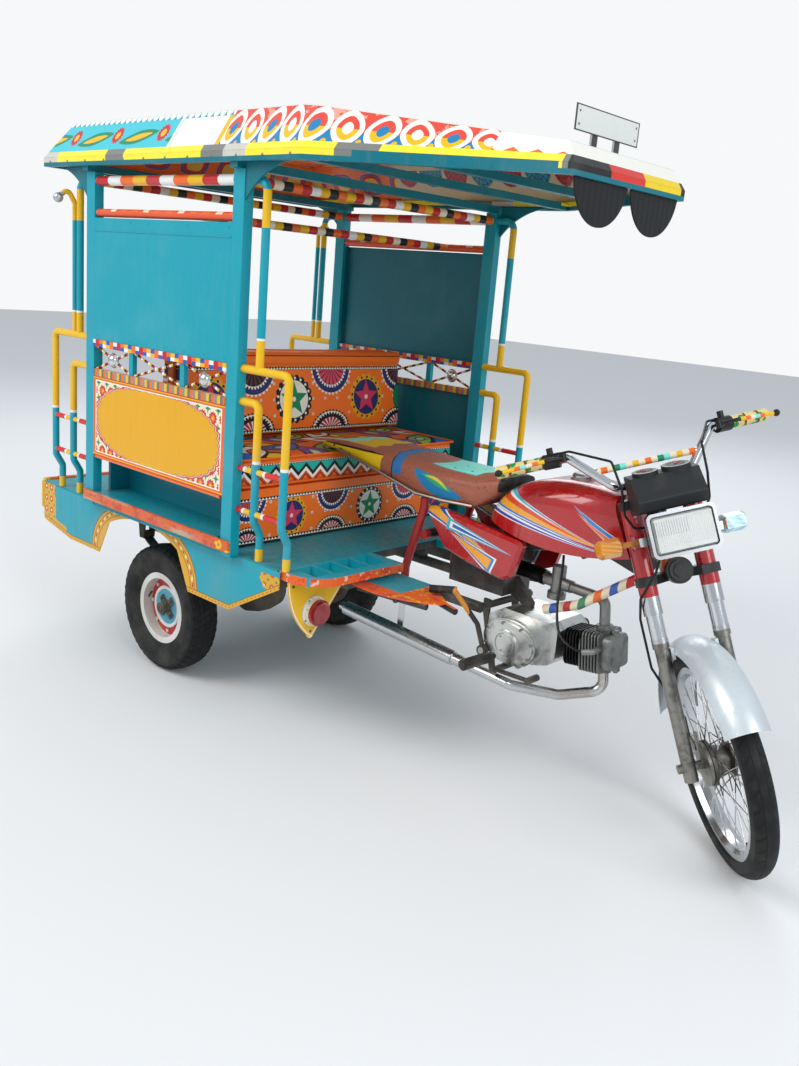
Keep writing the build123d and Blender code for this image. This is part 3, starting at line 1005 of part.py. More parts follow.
# Rubber flaps under the visor's front rail
FLAP_R = 114.0
with BuildPart() as visor_flaps:
    for side in (-1, 1):
        with BuildSketch(cross_plane(VISOR_X - 12)):
            with BuildLine():
                ThreePointArc((side * 8, EAVE_RAIL_Z[0] - SEAT_GAP), (side * (8 + FLAP_R), EAVE_RAIL_Z[0] - 100),
                              (side * (8 + 2 * FLAP_R), EAVE_RAIL_Z[0] - SEAT_GAP))
                Line((side * (8 + 2 * FLAP_R), EAVE_RAIL_Z[0] - SEAT_GAP), (side * 8, EAVE_RAIL_Z[0] - SEAT_GAP))
            make_face()
        extrude(amount=4)

# Blank number plate on its bracket above the visor
PLATE_X = 540.0
with BuildPart() as number_plate:
    block(ROOT, (PLATE_X, PLATE_X + 2), (-141, 141), (1668, 1726))
    for side in (-1, 1):
        block(ROOT, (PLATE_X - 6, PLATE_X), (side * 50 - 12, side * 50 + 12), (roof_top(PLATE_X - 6) + SEAT_GAP, 1712))

PIECES = {
    "front_tyre": front_tyre, "front_wheel_rim": front_wheel_rim, "fork_legs": fork_legs,
    "fork_covers": fork_covers, "steering_yokes": steering_yokes, "front_fender": front_fender,
    "headlight_housing": headlight_housing, "headlight_lens": headlight_lens,
    "instrument_housing": instrument_housing, "turn_signals": turn_signals, "handlebar": handlebar,
    "grips": grips, "control_levers": control_levers, "control_cables": control_cables,
    "motorcycle_frame": motorcycle_frame, "fuel_tank": fuel_tank,
    "side_covers": side_covers, "driver_saddle": driver_saddle, "engine_crankcase": engine_crankcase,
    "engine_cylinder": engine_cylinder, "carburettor": carburettor, "exhaust": exhaust,
    "foot_controls": foot_controls, "rear_axle": rear_axle,
    "rear_tyre_right": rear_tyres["right"], "rear_tyre_left": rear_tyres["left"],
    "rear_wheel_right": rear_wheels["right"], "rear_wheel_left": rear_wheels["left"],
    "chassis_frame": chassis_frame, "side_skirts": side_skirts, "cabin_floor": cabin_floor,
    "entry_platform": entry_platform, "foot_plates": foot_plates,
    "marker_lamps": marker_lamps, "cabin_posts": cabin_posts, "side_panels": side_panels,
    "gallery_rails": gallery_rails, "guard_rails": guard_rails, "bench_frames": bench_frames,
    "bench_cushions": bench_cushions, "bench_backrests": bench_backrests, "roof_frame": roof_frame,
    "roof_skin": roof_skin, "visor_flaps": visor_flaps, "number_plate": number_plate,
}
for name, piece in PIECES.items():
    piece.part.label = name
    export_step(piece.part, f"parts/{name}.step")
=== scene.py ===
# %% [markdown]
# # A painted motorcycle rickshaw
# The front half of a small motorcycle is joined to a passenger cabin that rolls on two fat tyres. Every sheet of
# the cabin is hand painted. The frame of the vehicle comes ready made, in metres, +X forward and +Z up. This
# lesson gives it light, paint, upholstery and the small parts that catch the eye.

# %% Load the vehicle
from math import cos, pi, radians, sin, tau

import bmesh
import bpy
from mathutils import Matrix, Vector


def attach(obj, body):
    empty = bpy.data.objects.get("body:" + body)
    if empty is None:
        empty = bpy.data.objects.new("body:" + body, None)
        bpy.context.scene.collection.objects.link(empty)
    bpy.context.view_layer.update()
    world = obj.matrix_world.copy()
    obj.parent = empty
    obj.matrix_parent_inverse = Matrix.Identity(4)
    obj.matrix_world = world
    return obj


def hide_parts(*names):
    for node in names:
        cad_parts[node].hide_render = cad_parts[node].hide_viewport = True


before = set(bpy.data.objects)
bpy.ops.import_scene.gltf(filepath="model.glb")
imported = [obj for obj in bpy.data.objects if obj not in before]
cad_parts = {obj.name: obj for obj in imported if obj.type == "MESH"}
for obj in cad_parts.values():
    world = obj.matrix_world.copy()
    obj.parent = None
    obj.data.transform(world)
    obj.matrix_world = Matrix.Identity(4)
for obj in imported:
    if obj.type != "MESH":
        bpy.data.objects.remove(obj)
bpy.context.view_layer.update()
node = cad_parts

# %% [markdown]
# The camera stands where the picture was taken from: in front and to the right of the vehicle, a little under head
# height, looking slightly down, and rolled by a few degrees. A long side of 36 mm on the sensor and a 33 mm lens
# give the same perspective.

# %% Camera
CAMERA_PLACE = Vector((1.9282, -2.1670, 1.2939))
CAMERA_YAW, CAMERA_PITCH, CAMERA_ROLL = radians(131.94), radians(-14.18), radians(4.82)
ahead = Vector((cos(CAMERA_PITCH) * cos(CAMERA_YAW), cos(CAMERA_PITCH) * sin(CAMERA_YAW), sin(CAMERA_PITCH)))
level = Vector((sin(CAMERA_YAW), -cos(CAMERA_YAW), 0))
upright = level.cross(ahead)
across = cos(CAMERA_ROLL) * level + sin(CAMERA_ROLL) * upright
above = cos(CAMERA_ROLL) * upright - sin(CAMERA_ROLL) * level
camera = bpy.data.objects.new("camera", bpy.data.cameras.new("camera"))
bpy.context.collection.objects.link(camera)
camera.matrix_world = Matrix.Translation(CAMERA_PLACE) @ Matrix((across, above, -ahead)).transposed().to_4x4()
camera.data.lens = 33.32
camera.data.sensor_width = 36
bpy.context.scene.camera = camera
print("camera at", tuple(round(v, 2) for v in CAMERA_PLACE))

# %% [markdown]
# The street in the picture is in open shade: soft light from a bright sky. One large lamp high on the camera's left
# and a weaker one on its right do that, with a third from behind and a pale world for the fill. The floor is plain.

# %% Light and floor
scene = bpy.context.scene
scene.view_settings.view_transform = "Standard"
world = bpy.data.worlds.new("sky")
scene.world = world
world.use_nodes = True
sky, sky_out = world.node_tree.nodes["Background"], world.node_tree.nodes["World Output"]
sky.inputs["Color"].default_value = (0.86, 0.93, 1.0, 1)
sky.inputs["Strength"].default_value = 0.70
seen = world.node_tree.nodes.new("ShaderNodeBackground")
seen.inputs["Color"].default_value = (0.93, 0.94, 0.95, 1)
rays = world.node_tree.nodes.new("ShaderNodeLightPath")
choose = world.node_tree.nodes.new("ShaderNodeMixShader")
for source, target in ((rays.outputs["Is Camera Ray"], choose.inputs[0]), (sky.outputs[0], choose.inputs[1]),
                       (seen.outputs[0], choose.inputs[2]), (choose.outputs[0], sky_out.inputs[0])):
    world.node_tree.links.new(source, target)


def soft_lamp(name, place, power, size, tint):
    """A large square lamp that faces the middle of the vehicle."""
    data = bpy.data.lights.new(name, "AREA")
    data.energy, data.size, data.color = power, size, tint
    lamp = bpy.data.objects.new(name, data)
    lamp.location = place
    lamp.rotation_euler = (Vector((0, 0, 0.8)) - Vector(place)).to_track_quat("-Z", "Y").to_euler()
    bpy.context.collection.objects.link(lamp)


soft_lamp("sky_left", (-2.6, -5.2, 5.2), 250, 4.0, (1.0, 0.98, 0.95))
soft_lamp("sky_front", (5.2, -1.2, 4.0), 150, 3.5, (0.97, 0.98, 1.0))
soft_lamp("sky_back", (-3.5, 4.5, 4.5), 110, 4.0, (0.97, 0.98, 1.0))
bpy.ops.mesh.primitive_plane_add(size=40)
floor = bpy.context.object
floor.name = "floor"
print("three lamps and a floor")

# %% [markdown]
# Paint patterns are sums. A surface point's place in metres, as numbers that can be added, compared and folded,
# gives stripes, zigzags, scallops and stars that stay put on the part. The small class below lets a pattern be
# written as plain arithmetic; each operation becomes one Math node. A mask is a number that is 1 inside and 0
# outside.


# %% Numbers over a surface
class Field:
    """A number that varies over a surface."""

    def __init__(self, paint, socket):
        self.paint, self.socket = paint, socket

    def math(self, operation, *others):
        """The result of a Math node on this number and others."""
        item = self.paint.tree.nodes.new("ShaderNodeMath")
        item.operation = operation
        for slot, value in zip(item.inputs, (self, *others)):
            if isinstance(value, Field):
                self.paint.tree.links.new(value.socket, slot)
            else:
                slot.default_value = value
        return Field(self.paint, item.outputs[0])

    def __add__(self, other):
        return self.math("ADD", other)

    def __sub__(self, other):
        return self.math("SUBTRACT", other)

    def __mul__(self, other):
        return self.math("MULTIPLY", other)

    __radd__, __rmul__ = __add__, __mul__

    def __truediv__(self, other):
        return self.math("DIVIDE", other)

    def __lt__(self, other):
        return self.math("LESS_THAN", other)

    def __gt__(self, other):
        return self.math("GREATER_THAN", other)

    def __and__(self, other):
        return self.math("MINIMUM", other)

    def __or__(self, other):
        return self.math("MAXIMUM", other)

    def __invert__(self):
        return self * -1 + 1

    def size(self):
        return self.math("ABSOLUTE")

    def square(self):
        return self * self

    def fold(self, pitch):
        """A sawtooth from -0.5 to 0.5 pitches, in metres."""
        return self - (self / pitch).math("ROUND") * pitch

    def between(self, low, high):
        return (self > low) & (self < high)

    def near(self, half, *places):
        """Mask within a half width of any of the places."""
        mask = (self - places[0]).size() < half
        for place in places[1:]:
            mask = mask | ((self - place).size() < half)
        return mask

    def soft(self, low, high):
        """0 at low, 1 at high, smooth between."""
        item = self.paint.tree.nodes.new("ShaderNodeMapRange")
        item.interpolation_type = "SMOOTHSTEP"
        self.paint.tree.links.new(self.socket, item.inputs[0])
        item.inputs[1].default_value, item.inputs[2].default_value = low, high
        return Field(self.paint, item.outputs[0])


def hue(code):
    """A colour written as six hex digits, as the linear numbers that shaders use."""
    parts = [int(code[i:i + 2], 16) / 255 for i in (0, 2, 4)]
    return tuple(v / 12.92 if v < 0.04045 else ((v + 0.055) / 1.055) ** 2.4 for v in parts)


class Paint:
    """A material under construction: its nodes, its places on the surface and its running colour."""

    def __init__(self, name, colour, rough=0.4, metal=0.0, coat=0.0):
        self.material = bpy.data.materials.new(name)
        self.material.use_nodes = True
        self.tree = self.material.node_tree
        self.shader = self.tree.nodes["Principled BSDF"]
        for socket, value in (("Roughness", rough), ("Metallic", metal), ("Coat Weight", coat),
                              ("Specular IOR Level", 0.5 if coat > 0.5 else 0.32)):
            self.shader.inputs[socket].default_value = value
        self.place = self.tree.nodes.new("ShaderNodeTexCoord").outputs["Object"]
        self.axes = self.parts(self.place)
        self.colour, self.height = colour, None

    def parts(self, vector):
        """The three numbers of a vector."""
        item = self.tree.nodes.new("ShaderNodeSeparateXYZ")
        self.tree.links.new(vector, item.inputs[0])
        return [Field(self, out) for out in item.outputs]

    def fill(self, slot, colour):
        """Set a colour socket to a colour's code, or link it to a node's output."""
        if isinstance(colour, str):
            slot.default_value = (*hue(colour), 1)
        else:
            self.tree.links.new(colour, slot)

    def put(self, mask, colour):
        """Lay a colour where the mask is 1."""
        item = self.tree.nodes.new("ShaderNodeMix")
        item.data_type = "RGBA"
        self.tree.links.new(mask.socket, item.inputs[0])
        self.fill(item.inputs[6], self.colour)
        self.fill(item.inputs[7], colour)
        self.colour = item.outputs[2]

    def lay(self, where, *layers):
        """Lay colours one over another, each where its own mask and the common one are 1."""
        for mask, colour in layers:
            self.put(where & mask, colour)

    def bands(self, along, pitch, colours, mask):
        """Repeat flat bands of colour along a field, where the mask is 1."""
        ramp = self.tree.nodes.new("ShaderNodeValToRGB")
        ramp.color_ramp.interpolation = "CONSTANT"
        stops = ramp.color_ramp.elements
        while len(stops) < len(colours):
            stops.new(0.5)
        for index, colour in enumerate(colours):
            stops[index].position = index / len(colours)
            stops[index].color = (*hue(colour), 1)
        self.tree.links.new((along / pitch).math("FRACT").socket, ramp.inputs[0])
        self.put(mask, ramp.outputs[0])

    def noise(self, scale, detail=3.0, rough=0.6, stretch=(1, 1, 1)):
        """Cloudy noise from 0 to 1."""
        item = self.tree.nodes.new("ShaderNodeTexNoise")
        for socket, value in (("Scale", scale), ("Detail", detail), ("Roughness", rough)):
            item.inputs[socket].default_value = value
        turn = self.tree.nodes.new("ShaderNodeMapping")
        turn.inputs["Scale"].default_value = stretch
        self.tree.links.new(self.place, turn.inputs[0])
        self.tree.links.new(turn.outputs[0], item.inputs["Vector"])
        return Field(self, item.outputs[0])

    def cells(self, scale):
        """Distance from the nearest of many scattered points."""
        item = self.tree.nodes.new("ShaderNodeTexVoronoi")
        item.inputs["Scale"].default_value = scale
        self.tree.links.new(self.place, item.inputs["Vector"])
        return Field(self, item.outputs["Distance"])

    def stain(self, colour, strength, scale, detail, low, high, rough=0.6, where=None):
        """Blotches of a colour, where cloudy noise rises from low to high."""
        blotches = self.noise(scale, detail, rough).soft(low, high) * strength
        self.put(blotches if where is None else blotches * where, colour)

    def metal_where(self, mask):
        """Bare metal where the mask is 1."""
        self.tree.links.new(mask.socket, self.shader.inputs["Metallic"])

    def finish(self, bump=0.0, rough=None):
        """Wire the colour, height and roughness to the shader."""
        self.fill(self.shader.inputs["Base Color"], self.colour)
        if self.height is not None and bump:
            item = self.tree.nodes.new("ShaderNodeBump")
            item.inputs["Strength"].default_value = 0.6
            item.inputs["Distance"].default_value = bump
            self.tree.links.new(self.height.socket, item.inputs["Height"])
            self.tree.links.new(item.outputs[0], self.shader.inputs["Normal"])
        if rough is not None:
            self.tree.links.new(rough.socket, self.shader.inputs["Roughness"])
        return self.material


TURQUOISE, DEEP_TEAL, YELLOW, LEMON = "009AAC", "046F7D", "EAB80A", "F7E436"
RED, ORANGE, CREAM, WHITE = "C21B22", "EE6A1C", "EADDBE", "E9EBE8"
BLACK, GREEN, BLUE, MINT = "15161A", "14865A", "1F57B0", "7FE0D0"
DUST, RUST, CHROME, SOOT = "8E8271", "6B3B22", "B9BCBE", "17181A"
SIDES = ((-1, "right"), (1, "left"))
print("colours mixed")

# %% [markdown]
# Work paint is never clean. It fades in clouds, collects dust low down, streaks where rain runs, and chips to dark
# primer. One function adds that to any paint, so the whole vehicle has the same age. The others are the painter's
# stock of ornament, each a mask made from two fields.


# %% Age and ornament
def aged(paint, dust=0.35, chips=0.5, bump=0.0006, gloss=(0.28, 0.6)):
    """Clouds, dust, streaks and chips over the running colour, and roughness to match."""
    clouds = paint.noise(5.0, 5)
    paint.put(clouds.soft(0.45, 0.75) * 0.035, WHITE)
    streaks = paint.noise(6.0, 6, stretch=(9, 9, 0.9))
    paint.put(streaks.soft(0.52, 0.78) * (0.55 * dust), DUST)
    low = paint.axes[2].soft(0.75, 0.25)
    paint.put(low * clouds.soft(0.3, 0.7) * dust, DUST)
    flakes = paint.noise(95.0, 4, 0.7).soft(0.74 - 0.06 * chips, 0.77 - 0.06 * chips)
    chipped = flakes * paint.noise(7.0, 3).soft(0.5, 0.62)
    paint.put(chipped * 0.8, RUST)
    paint.height = paint.noise(60.0, 3) * 0.4 - chipped
    return paint.finish(bump, streaks.soft(0.3, 0.8) * (gloss[1] - gloss[0]) + gloss[0])


def wear(name, material):
    """Give a part of the vehicle its material."""
    data = node[name].data
    data.materials.clear()
    data.materials.append(material)


def polar(a, b):
    """Distance from, and angle round, the place where both fields are 0."""
    return (a.square() + b.square()).math("SQRT"), b.math("ARCTAN2", a)


def disc(a, b, radius):
    return polar(a, b)[0] < radius


def blob(a, b, half_a, half_b, power, power_b=None):
    """Below 1 inside a round shape, which is squarer for higher powers."""
    return (a.size() / half_a).math("POWER", power) + (b.size() / half_b).math("POWER", power_b or power)


def star(a, b, outer, inner, points, turn=0.0):
    """Mask of a star of some points round the place where both fields are 0."""
    distance, angle = polar(a, b)
    arm = (angle + turn).fold(tau / points)
    notch_a, notch_b = inner * cos(pi / points), inner * sin(pi / points)
    along_arm, beside_arm = distance * arm.math("COSINE"), distance * arm.math("SINE").size()
    return (along_arm - outer) * notch_b + beside_arm * (outer - notch_a) < 0.0


def flower(a, b, radius, petals=8, depth=0.25):
    """Mask of a round flower with scalloped petals."""
    distance, angle = polar(a, b)
    return distance < (angle * petals).math("COSINE").size() * (depth * radius) + radius * (1 - depth)


def zigzag(along, up, pitch, height):
    """Mask below a row of teeth that stand on up = 0."""
    return up < along.fold(pitch).size() * (-2 * height / pitch) + height


def scallop(along, up, pitch):
    """Mask of a row of half discs that hang from up = 0."""
    return disc(along.fold(pitch), up, pitch * 0.46) & (up < 0.0)


def dots(along, up, pitch, radius):
    """Mask of a row of round dots on up = 0."""
    return disc(along.fold(pitch), up, radius)


def flecks(paint, mask, share, colour, scale=38.0):
    """Small worn patches of a second colour, on about a share of the mask."""
    paint.put(mask & (paint.noise(scale, 3) > 0.64 - share * 0.3), colour)


print("age and ornament ready")

# %% [markdown]
# The cabin's steel is turquoise. Its rails carry flat bands of red, white, orange and gold, which a painter does
# with tape. The bands follow X on the long rails and Y on the cross rails, so two masks choose between them.

# %% Posts and rails
POST_X, POST_HALF, POST_MIDDLE, VERMILION = (-0.8975, -0.1825), 0.026, -0.54, "E4562A"
posts = Paint("turquoise_posts", TURQUOISE, coat=0.12)
x, y, z = posts.axes
long_rails = (y.size() > 0.5) & ~x.near(POST_HALF, *POST_X)
posts.bands(x + 0.8715, 0.265, [RED, WHITE, ORANGE, YELLOW], long_rails & (z > 1.498))
sill = long_rails & z.between(1.404, 1.444)
posts.put(sill, VERMILION)
posts.bands(x, 0.17, [ORANGE, VERMILION, CREAM, VERMILION, ORANGE, VERMILION], sill & (z > 1.428))
posts.bands(y, 0.33, [RED, WHITE, YELLOW, BLACK, ORANGE, YELLOW, RED, CREAM, BLACK, ORANGE], y.size() < 0.5)
wear("cabin_posts", aged(posts, 0.3, 0.6))
print("posts painted")

# %% [markdown]
# A side has two sheets. Outside, the upper one is plain turquoise and the lower one is a yellow field in a
# scalloped red line, on white with small flowers in the corners, inside a frame of stripes. Inside the cabin
# both are a darker teal, as painted shade.

# %% Side panels
PANEL_TOP, PANEL_LOW, LATTICE = 0.938, 0.688, 0.047
panels = Paint("side_panel_paint", TURQUOISE, coat=0.12)
x, y, z = panels.axes
painted = z < 0.96
a, b = x - POST_MIDDLE, z - (PANEL_TOP + PANEL_LOW) / 2
knots = a.fold(LATTICE), (b + 0.012).fold(LATTICE)
gaps = (a + LATTICE / 2).fold(LATTICE), (b + 0.012 + LATTICE / 2).fold(LATTICE)
lobes = (b.math("ARCTAN2", a * 0.42) * 21.0).math("COSINE").size() * 0.09
rim = blob(a, b, 0.298, 0.106, 2.6) - lobes
panels.lay(painted, (painted, CREAM), (flower(*knots, 0.019, 6), RED), (flower(*knots, 0.011, 6), ORANGE),
           (disc(*knots, 0.005), YELLOW), (star(*gaps, 0.014, 0.005, 4), GREEN),
           (rim < 1.20, "D23A2A"), (rim < 1.12, "E9C9C0"), (rim < 1.08, "7A2A3A"), (rim < 1.05, "E2A500"),
           ((a.size() > 0.3185) | (b.size() > 0.1105), "F2EEE4"),
           ((a.size() > 0.3225) | (b.size() > 0.1135), "E4611C"),
           (b.size() > 0.1185, YELLOW), (b.size() > 0.1215, "D8431A"))
# Inner faces of the sheets are a darker teal: painted shade inside the cabin.
panels.put(y.size() < 0.532, DEEP_TEAL)
wear("side_panels", aged(panels, 0.16, 0.3))
print("panels painted")

# %% [markdown]
# Between the sheets runs a gallery with a checked rail above, a grey and gold one below, and thin crossed strips.
# The ledge under it ends in an orange rail, rubbed to bare metal where people lean on it.

# %% Gallery and ledge rail
gallery = Paint("gallery_paint", TURQUOISE)
x, y, z = gallery.axes
UPPER_RAIL, LOWER_RAIL = 1.0275, 0.9605
gallery.bands(x, 0.12, [ORANGE, YELLOW, BLUE, ORANGE, WHITE, RED], z > UPPER_RAIL)
gallery.bands(x + 0.02, 0.12, [RED, BLUE, WHITE, YELLOW, ORANGE, BLUE], z.between(UPPER_RAIL, 1.0385))
gallery.bands(x, 0.05, ["8C8D88", YELLOW, "6E6F6C", ORANGE], z.between(0.937, LOWER_RAIL))
strips = z.between(LOWER_RAIL, UPPER_RAIL) & (y.size() > 0.5195)
strips = strips & ~(x - POST_MIDDLE).size().near(0.0115, 0.13)
gallery.bands(x, 0.036, [YELLOW, BLACK, RED, WHITE], strips)
ledge_rail = z < 0.6
gallery.put(ledge_rail, "D9602C")
flecks(gallery, ledge_rail, 0.25, "C9482A")
rubbed = gallery.noise(7.0, 5, stretch=(0.5, 2, 5)).soft(0.42, 0.56) * x.soft(-0.25, -0.40)
gallery.put(ledge_rail & rubbed, "B9A58E")
flecks(gallery, ledge_rail & (x > -0.24), 0.25, YELLOW, 30.0)
wear("gallery_rails", aged(gallery, 0.25, 0.7))
print("gallery painted")

# %% Guard rails
guards = Paint("guard_paint", TURQUOISE, coat=0.15)
x, y, z = guards.axes
INNER_TUBES, OUTER_TUBES, TUBE_HALF, CROSS_BARS = (-0.09, -1.035), (0.025, -1.15), 0.0115, (0.775, 0.66)
guards.put(z.between(0.805, 1.12), YELLOW)
guards.put(z.between(0.797, 0.805) | z.between(1.12, 1.126), WHITE)
guards.put(z.between(1.40, 1.492) | (z < 0.560), YELLOW)
on_bars = z.near(0.0085, *CROSS_BARS) & ~x.near(TUBE_HALF, *INNER_TUBES, *OUTER_TUBES)
from_inner_tube = (x - INNER_TUBES[0]).size() & (x - INNER_TUBES[1]).size()
guards.lay(on_bars, (on_bars, YELLOW), (from_inner_tube > 0.036, WHITE), (from_inner_tube > 0.046, "D3241F"))
pole_balls = (y.size() > 0.5525) & z.between(1.440, 1.4785)
guards.put(pole_balls, CHROME)
guards.metal_where(pole_balls)
wear("guard_rails", aged(guards, 0.3, 0.9))
print("guards painted")

# %% [markdown]
# The skirt is turquoise with a thin gold border along its lower edge and a broad gold band round the wheel arch.
# The lower edge is the highest of three lines. The band's outlines are round shapes that are a little square, one
# in another, and sprays of small flowers fill the corners.

# %% Skirts
GOLD, DARK_GOLD, ARCH_RED = "D9A21B", "8A5A1C", "A8551C"
EDGE_LOW, ARCH_X, ARCH_FOOT, ARCH_POWER = 0.356, -0.640, 0.351, 2.35
skirt = Paint("skirt_paint", TURQUOISE, coat=0.12)
x, y, z = skirt.axes
above_edge = z - ((((x + 0.196) * 0.549) | ((x + 1.072) * -0.199) | 0.0) + EDGE_LOW)
side_sheet = y.size() > 0.499
leaves, slope = skirt.noise(30.0, 2, 0.5), x + z * 0.55
front_corner = (slope > leaves * 0.12 + 0.150) & (z < 0.505)
rear_corner = (x < leaves * 0.06 - 1.205) | ((x < -1.10) & (above_edge < leaves * 0.07 - 0.005))
skirt.put(side_sheet & (front_corner | rear_corner), GOLD)
sprays = side_sheet & ((front_corner & (slope > leaves * 0.12 + 0.165)) | (x < leaves * 0.06 - 1.212))
blossom = (x + 0.012).fold(0.034), (z - 0.470).fold(0.040)
bud = (x - 0.005).fold(0.034), (z - 0.450).fold(0.040)
skirt.lay(sprays, (flower(*blossom, 0.0125, 6, 0.4), "C2471E"), (disc(*blossom, 0.0045), "F0E3C0"),
          (disc(*bud, 0.0045), "4E8A55"))
ARCH_LINES = ((0.295, 0.198), (0.291, 0.194), (0.2835, 0.1865), (0.2625, 0.171), (0.2735, 0.178))
border, band, outer_line, inner_line, middle = [
    blob(x - ARCH_X, (z - ARCH_FOOT) | 0.0, half, rise, ARCH_POWER) for half, rise in ARCH_LINES]
round_arch = z.math("ARCTAN2", x - ARCH_X) * 0.42
beads = [dots(round_arch + shift, (middle - 1.0) * 0.10, 0.025, 0.0042) for shift in (0.0, 0.0125)]
skirt.lay(side_sheet, (border < 1.0, DARK_GOLD), (band < 1.0, GOLD), (outer_line.between(0.975, 1.0), ARCH_RED),
          (inner_line.between(0.97, 1.0), ARCH_RED), (beads[0], "C43A2A"), (beads[1], "E9D9A0"),
          (above_edge < 0.013, GOLD), (above_edge.between(0.013, 0.0155), DARK_GOLD),
          (dots(x, above_edge - 0.0065, 0.016, 0.0024), "B5481C"))
wear("side_skirts", aged(skirt, 0.18, 0.9))
wear("cabin_floor", aged(Paint("floor_paint", "00909F", coat=0.1), 0.22, 0.6, gloss=(0.35, 0.7)))
print("skirts painted")

# %% Steps, plates and chassis
steps = Paint("step_paint", TURQUOISE)
x, y, z = steps.axes
step_edge = ((x > 0.106) | (y.size() > 0.478)) & z.between(0.499, 0.5245)
steps.put(step_edge, "E4611C")
flecks(steps, step_edge, 0.30, "D4452A", 34.0)
flecks(steps, step_edge, 0.08, "E3B9A2", 60.0)
ARC_Y, ARC_Z, ARC_RADIUS, SHIELD_LINE = 0.27284, 0.50863, 0.22532, (0.003, 0.0065)
shields = z < 0.4995
straight_side = (y.size() - 0.394) * 0.793 + (z - 0.336) * 0.609
round_side = polar(y.size() - ARC_Y, z - ARC_Z)[0] * -1 + ARC_RADIUS
steps.lay(shields, (shields, "E9B713"),
          (straight_side.between(*SHIELD_LINE) | round_side.between(*SHIELD_LINE), "F0EBD8"))
wear("entry_platform", aged(steps, 0.12, 0.8))

plates = Paint("foot_plate_paint", TURQUOISE)
x, y, z = plates.axes
plate_edge = (y.size() > 0.268) | (x > 0.245)
plates.put(plate_edge, "E8611E")
flecks(plates, plate_edge, 0.22, "D4453A", 30.0)
flecks(plates, plate_edge, 0.06, YELLOW, 44.0)
plates.put(z < 0.4815, "2A2C2E")
wear("foot_plates", aged(plates, 0.22, 0.9))

BUMPER_X = -1.2535
chassis = Paint("chassis_paint", "2B2E30")
x, y, z = chassis.axes
chassis.bands(y, 0.20, [ORANGE, YELLOW, ORANGE, YELLOW, ORANGE, RED], x < BUMPER_X)
chassis.put(x.between(BUMPER_X, -1.18) & (z > 0.495), TURQUOISE)
wear("chassis_frame", aged(chassis, 0.6, 0.9))
wear("rear_axle", aged(Paint("axle_paint", "1F2021"), 0.8, 0.7, gloss=(0.55, 0.85)))
print("steps, plates and chassis painted")

# %% Marker lamps
MARKER_Y, MARKER_Z = 0.400, 0.405
lamps = Paint("marker_lens", "8E1418", rough=0.16, coat=0.8)
x, y, z = lamps.axes
lamp_body = x.between(0.0, 0.0675)
lamps.put(lamp_body, "E4E0D2")
lamps.stain("8C8272", 1.0, 40.0, 4, 0.55, 0.7, where=lamp_body)
ring_r = polar(y.size() - MARKER_Y, z - MARKER_Z)[0]
lamps.height = (ring_r * 1500.0).math("SINE") * ~lamp_body * 0.5
wear("marker_lamps", lamps.finish(0.001))
print("lamps painted")

# %% [markdown]
# The roof's side is a painted fascia that leans in. Panels of ornament follow each other along it. Their height
# falls towards the front with the roof, so the height on a panel is counted as a share of the fascia.

# %% Roof
EAVE, ROOF_TOP, ROOF_BREAK, ROOF_FALL = 1.58, 1.690, 0.005, 0.104
GROUND_TOP, LIP, REAR_PANEL_END, FRONT_PANEL_START = 0.97, 0.975, -0.47, -0.253
SKY_BLUE, CORAL, BONE = "1C7FB2", "E04A38", "F2EEE4"
roof = Paint("roof_paint", "D9DDD6", coat=0.2)
x, y, z = roof.axes
height = z - EAVE
share = height / (((x - ROOF_BREAK) | 0.0) * -ROOF_FALL + (ROOF_TOP - EAVE))
rear_panel, front_panel, ground = x < REAR_PANEL_END, x > FRONT_PANEL_START, share < GROUND_TOP
leaf_a = (x + 0.88).fold(0.23)
leaf_b = height - 0.05 - leaf_a * 0.16
blossom = (x + 0.765).fold(0.23), height - 0.058
roof.lay(rear_panel, (ground, "3FC3D2"), (blob(leaf_a, leaf_b, 0.088, 0.019, 1.6, 1.3) < 1.0, GREEN),
         (blob(leaf_a, leaf_b, 0.06, 0.009, 1.6, 1.3) < 1.0, YELLOW),
         (flower(*blossom, 0.026, 8), RED), (flower(*blossom, 0.012, 6), YELLOW))
roof.put(x.between(REAR_PANEL_END, -0.27) & ground, WHITE)
roof.put(x.near(0.009, -0.262), YELLOW)
roof.put(x.near(0.006, -0.478), WHITE)
upper = share.between(0.46, GROUND_TOP)
roof.lay(front_panel, (ground, SKY_BLUE), (upper, CORAL), (upper & (roof.noise(24.0, 4) > 0.56), "F1A08C"))
for shift, lean, heart in ((0.0, 0.5, BONE), (0.075, -0.35, SKY_BLUE)):
    petal_a = (x + shift).fold(0.150) + (share - 0.5) * (0.030 * lean)
    petal = blob(petal_a, (share - 0.53) * 0.11, 0.036, 0.050, 1.7)
    roof.lay(front_panel, (petal < 1.0, BONE), ((petal < 0.52) & (share < 0.52), YELLOW),
             ((petal < 0.52) & (share > 0.52), CORAL), (petal < 0.16, heart))
roof.put(front_panel & dots(x + 0.0375, height - 0.018, 0.075, 0.006), YELLOW)
roof.lay(x > 0.46, (ground, "F2EFE4"), ((share < 0.5) & zigzag(x, share - 0.2, 0.05, 0.25), ORANGE))
roof.lay(x < FRONT_PANEL_START, (share.between(0.86, LIP), TURQUOISE),
         (scallop(x, (share - LIP) * 0.11, 0.028) & (share > 0.84), WHITE))
GREY_TAPE = "7C7D78"
EAVE_TAPE = [LEMON] * 3 + [GREY_TAPE] + [LEMON] * 4 + [GREY_TAPE, "C9C6BC"]
NOSE_TAPE = ((-1.0, "1E1D1C"), (-0.100, "D8332A"), (0.055, "F0CF12"), (0.235, "2A2826"))


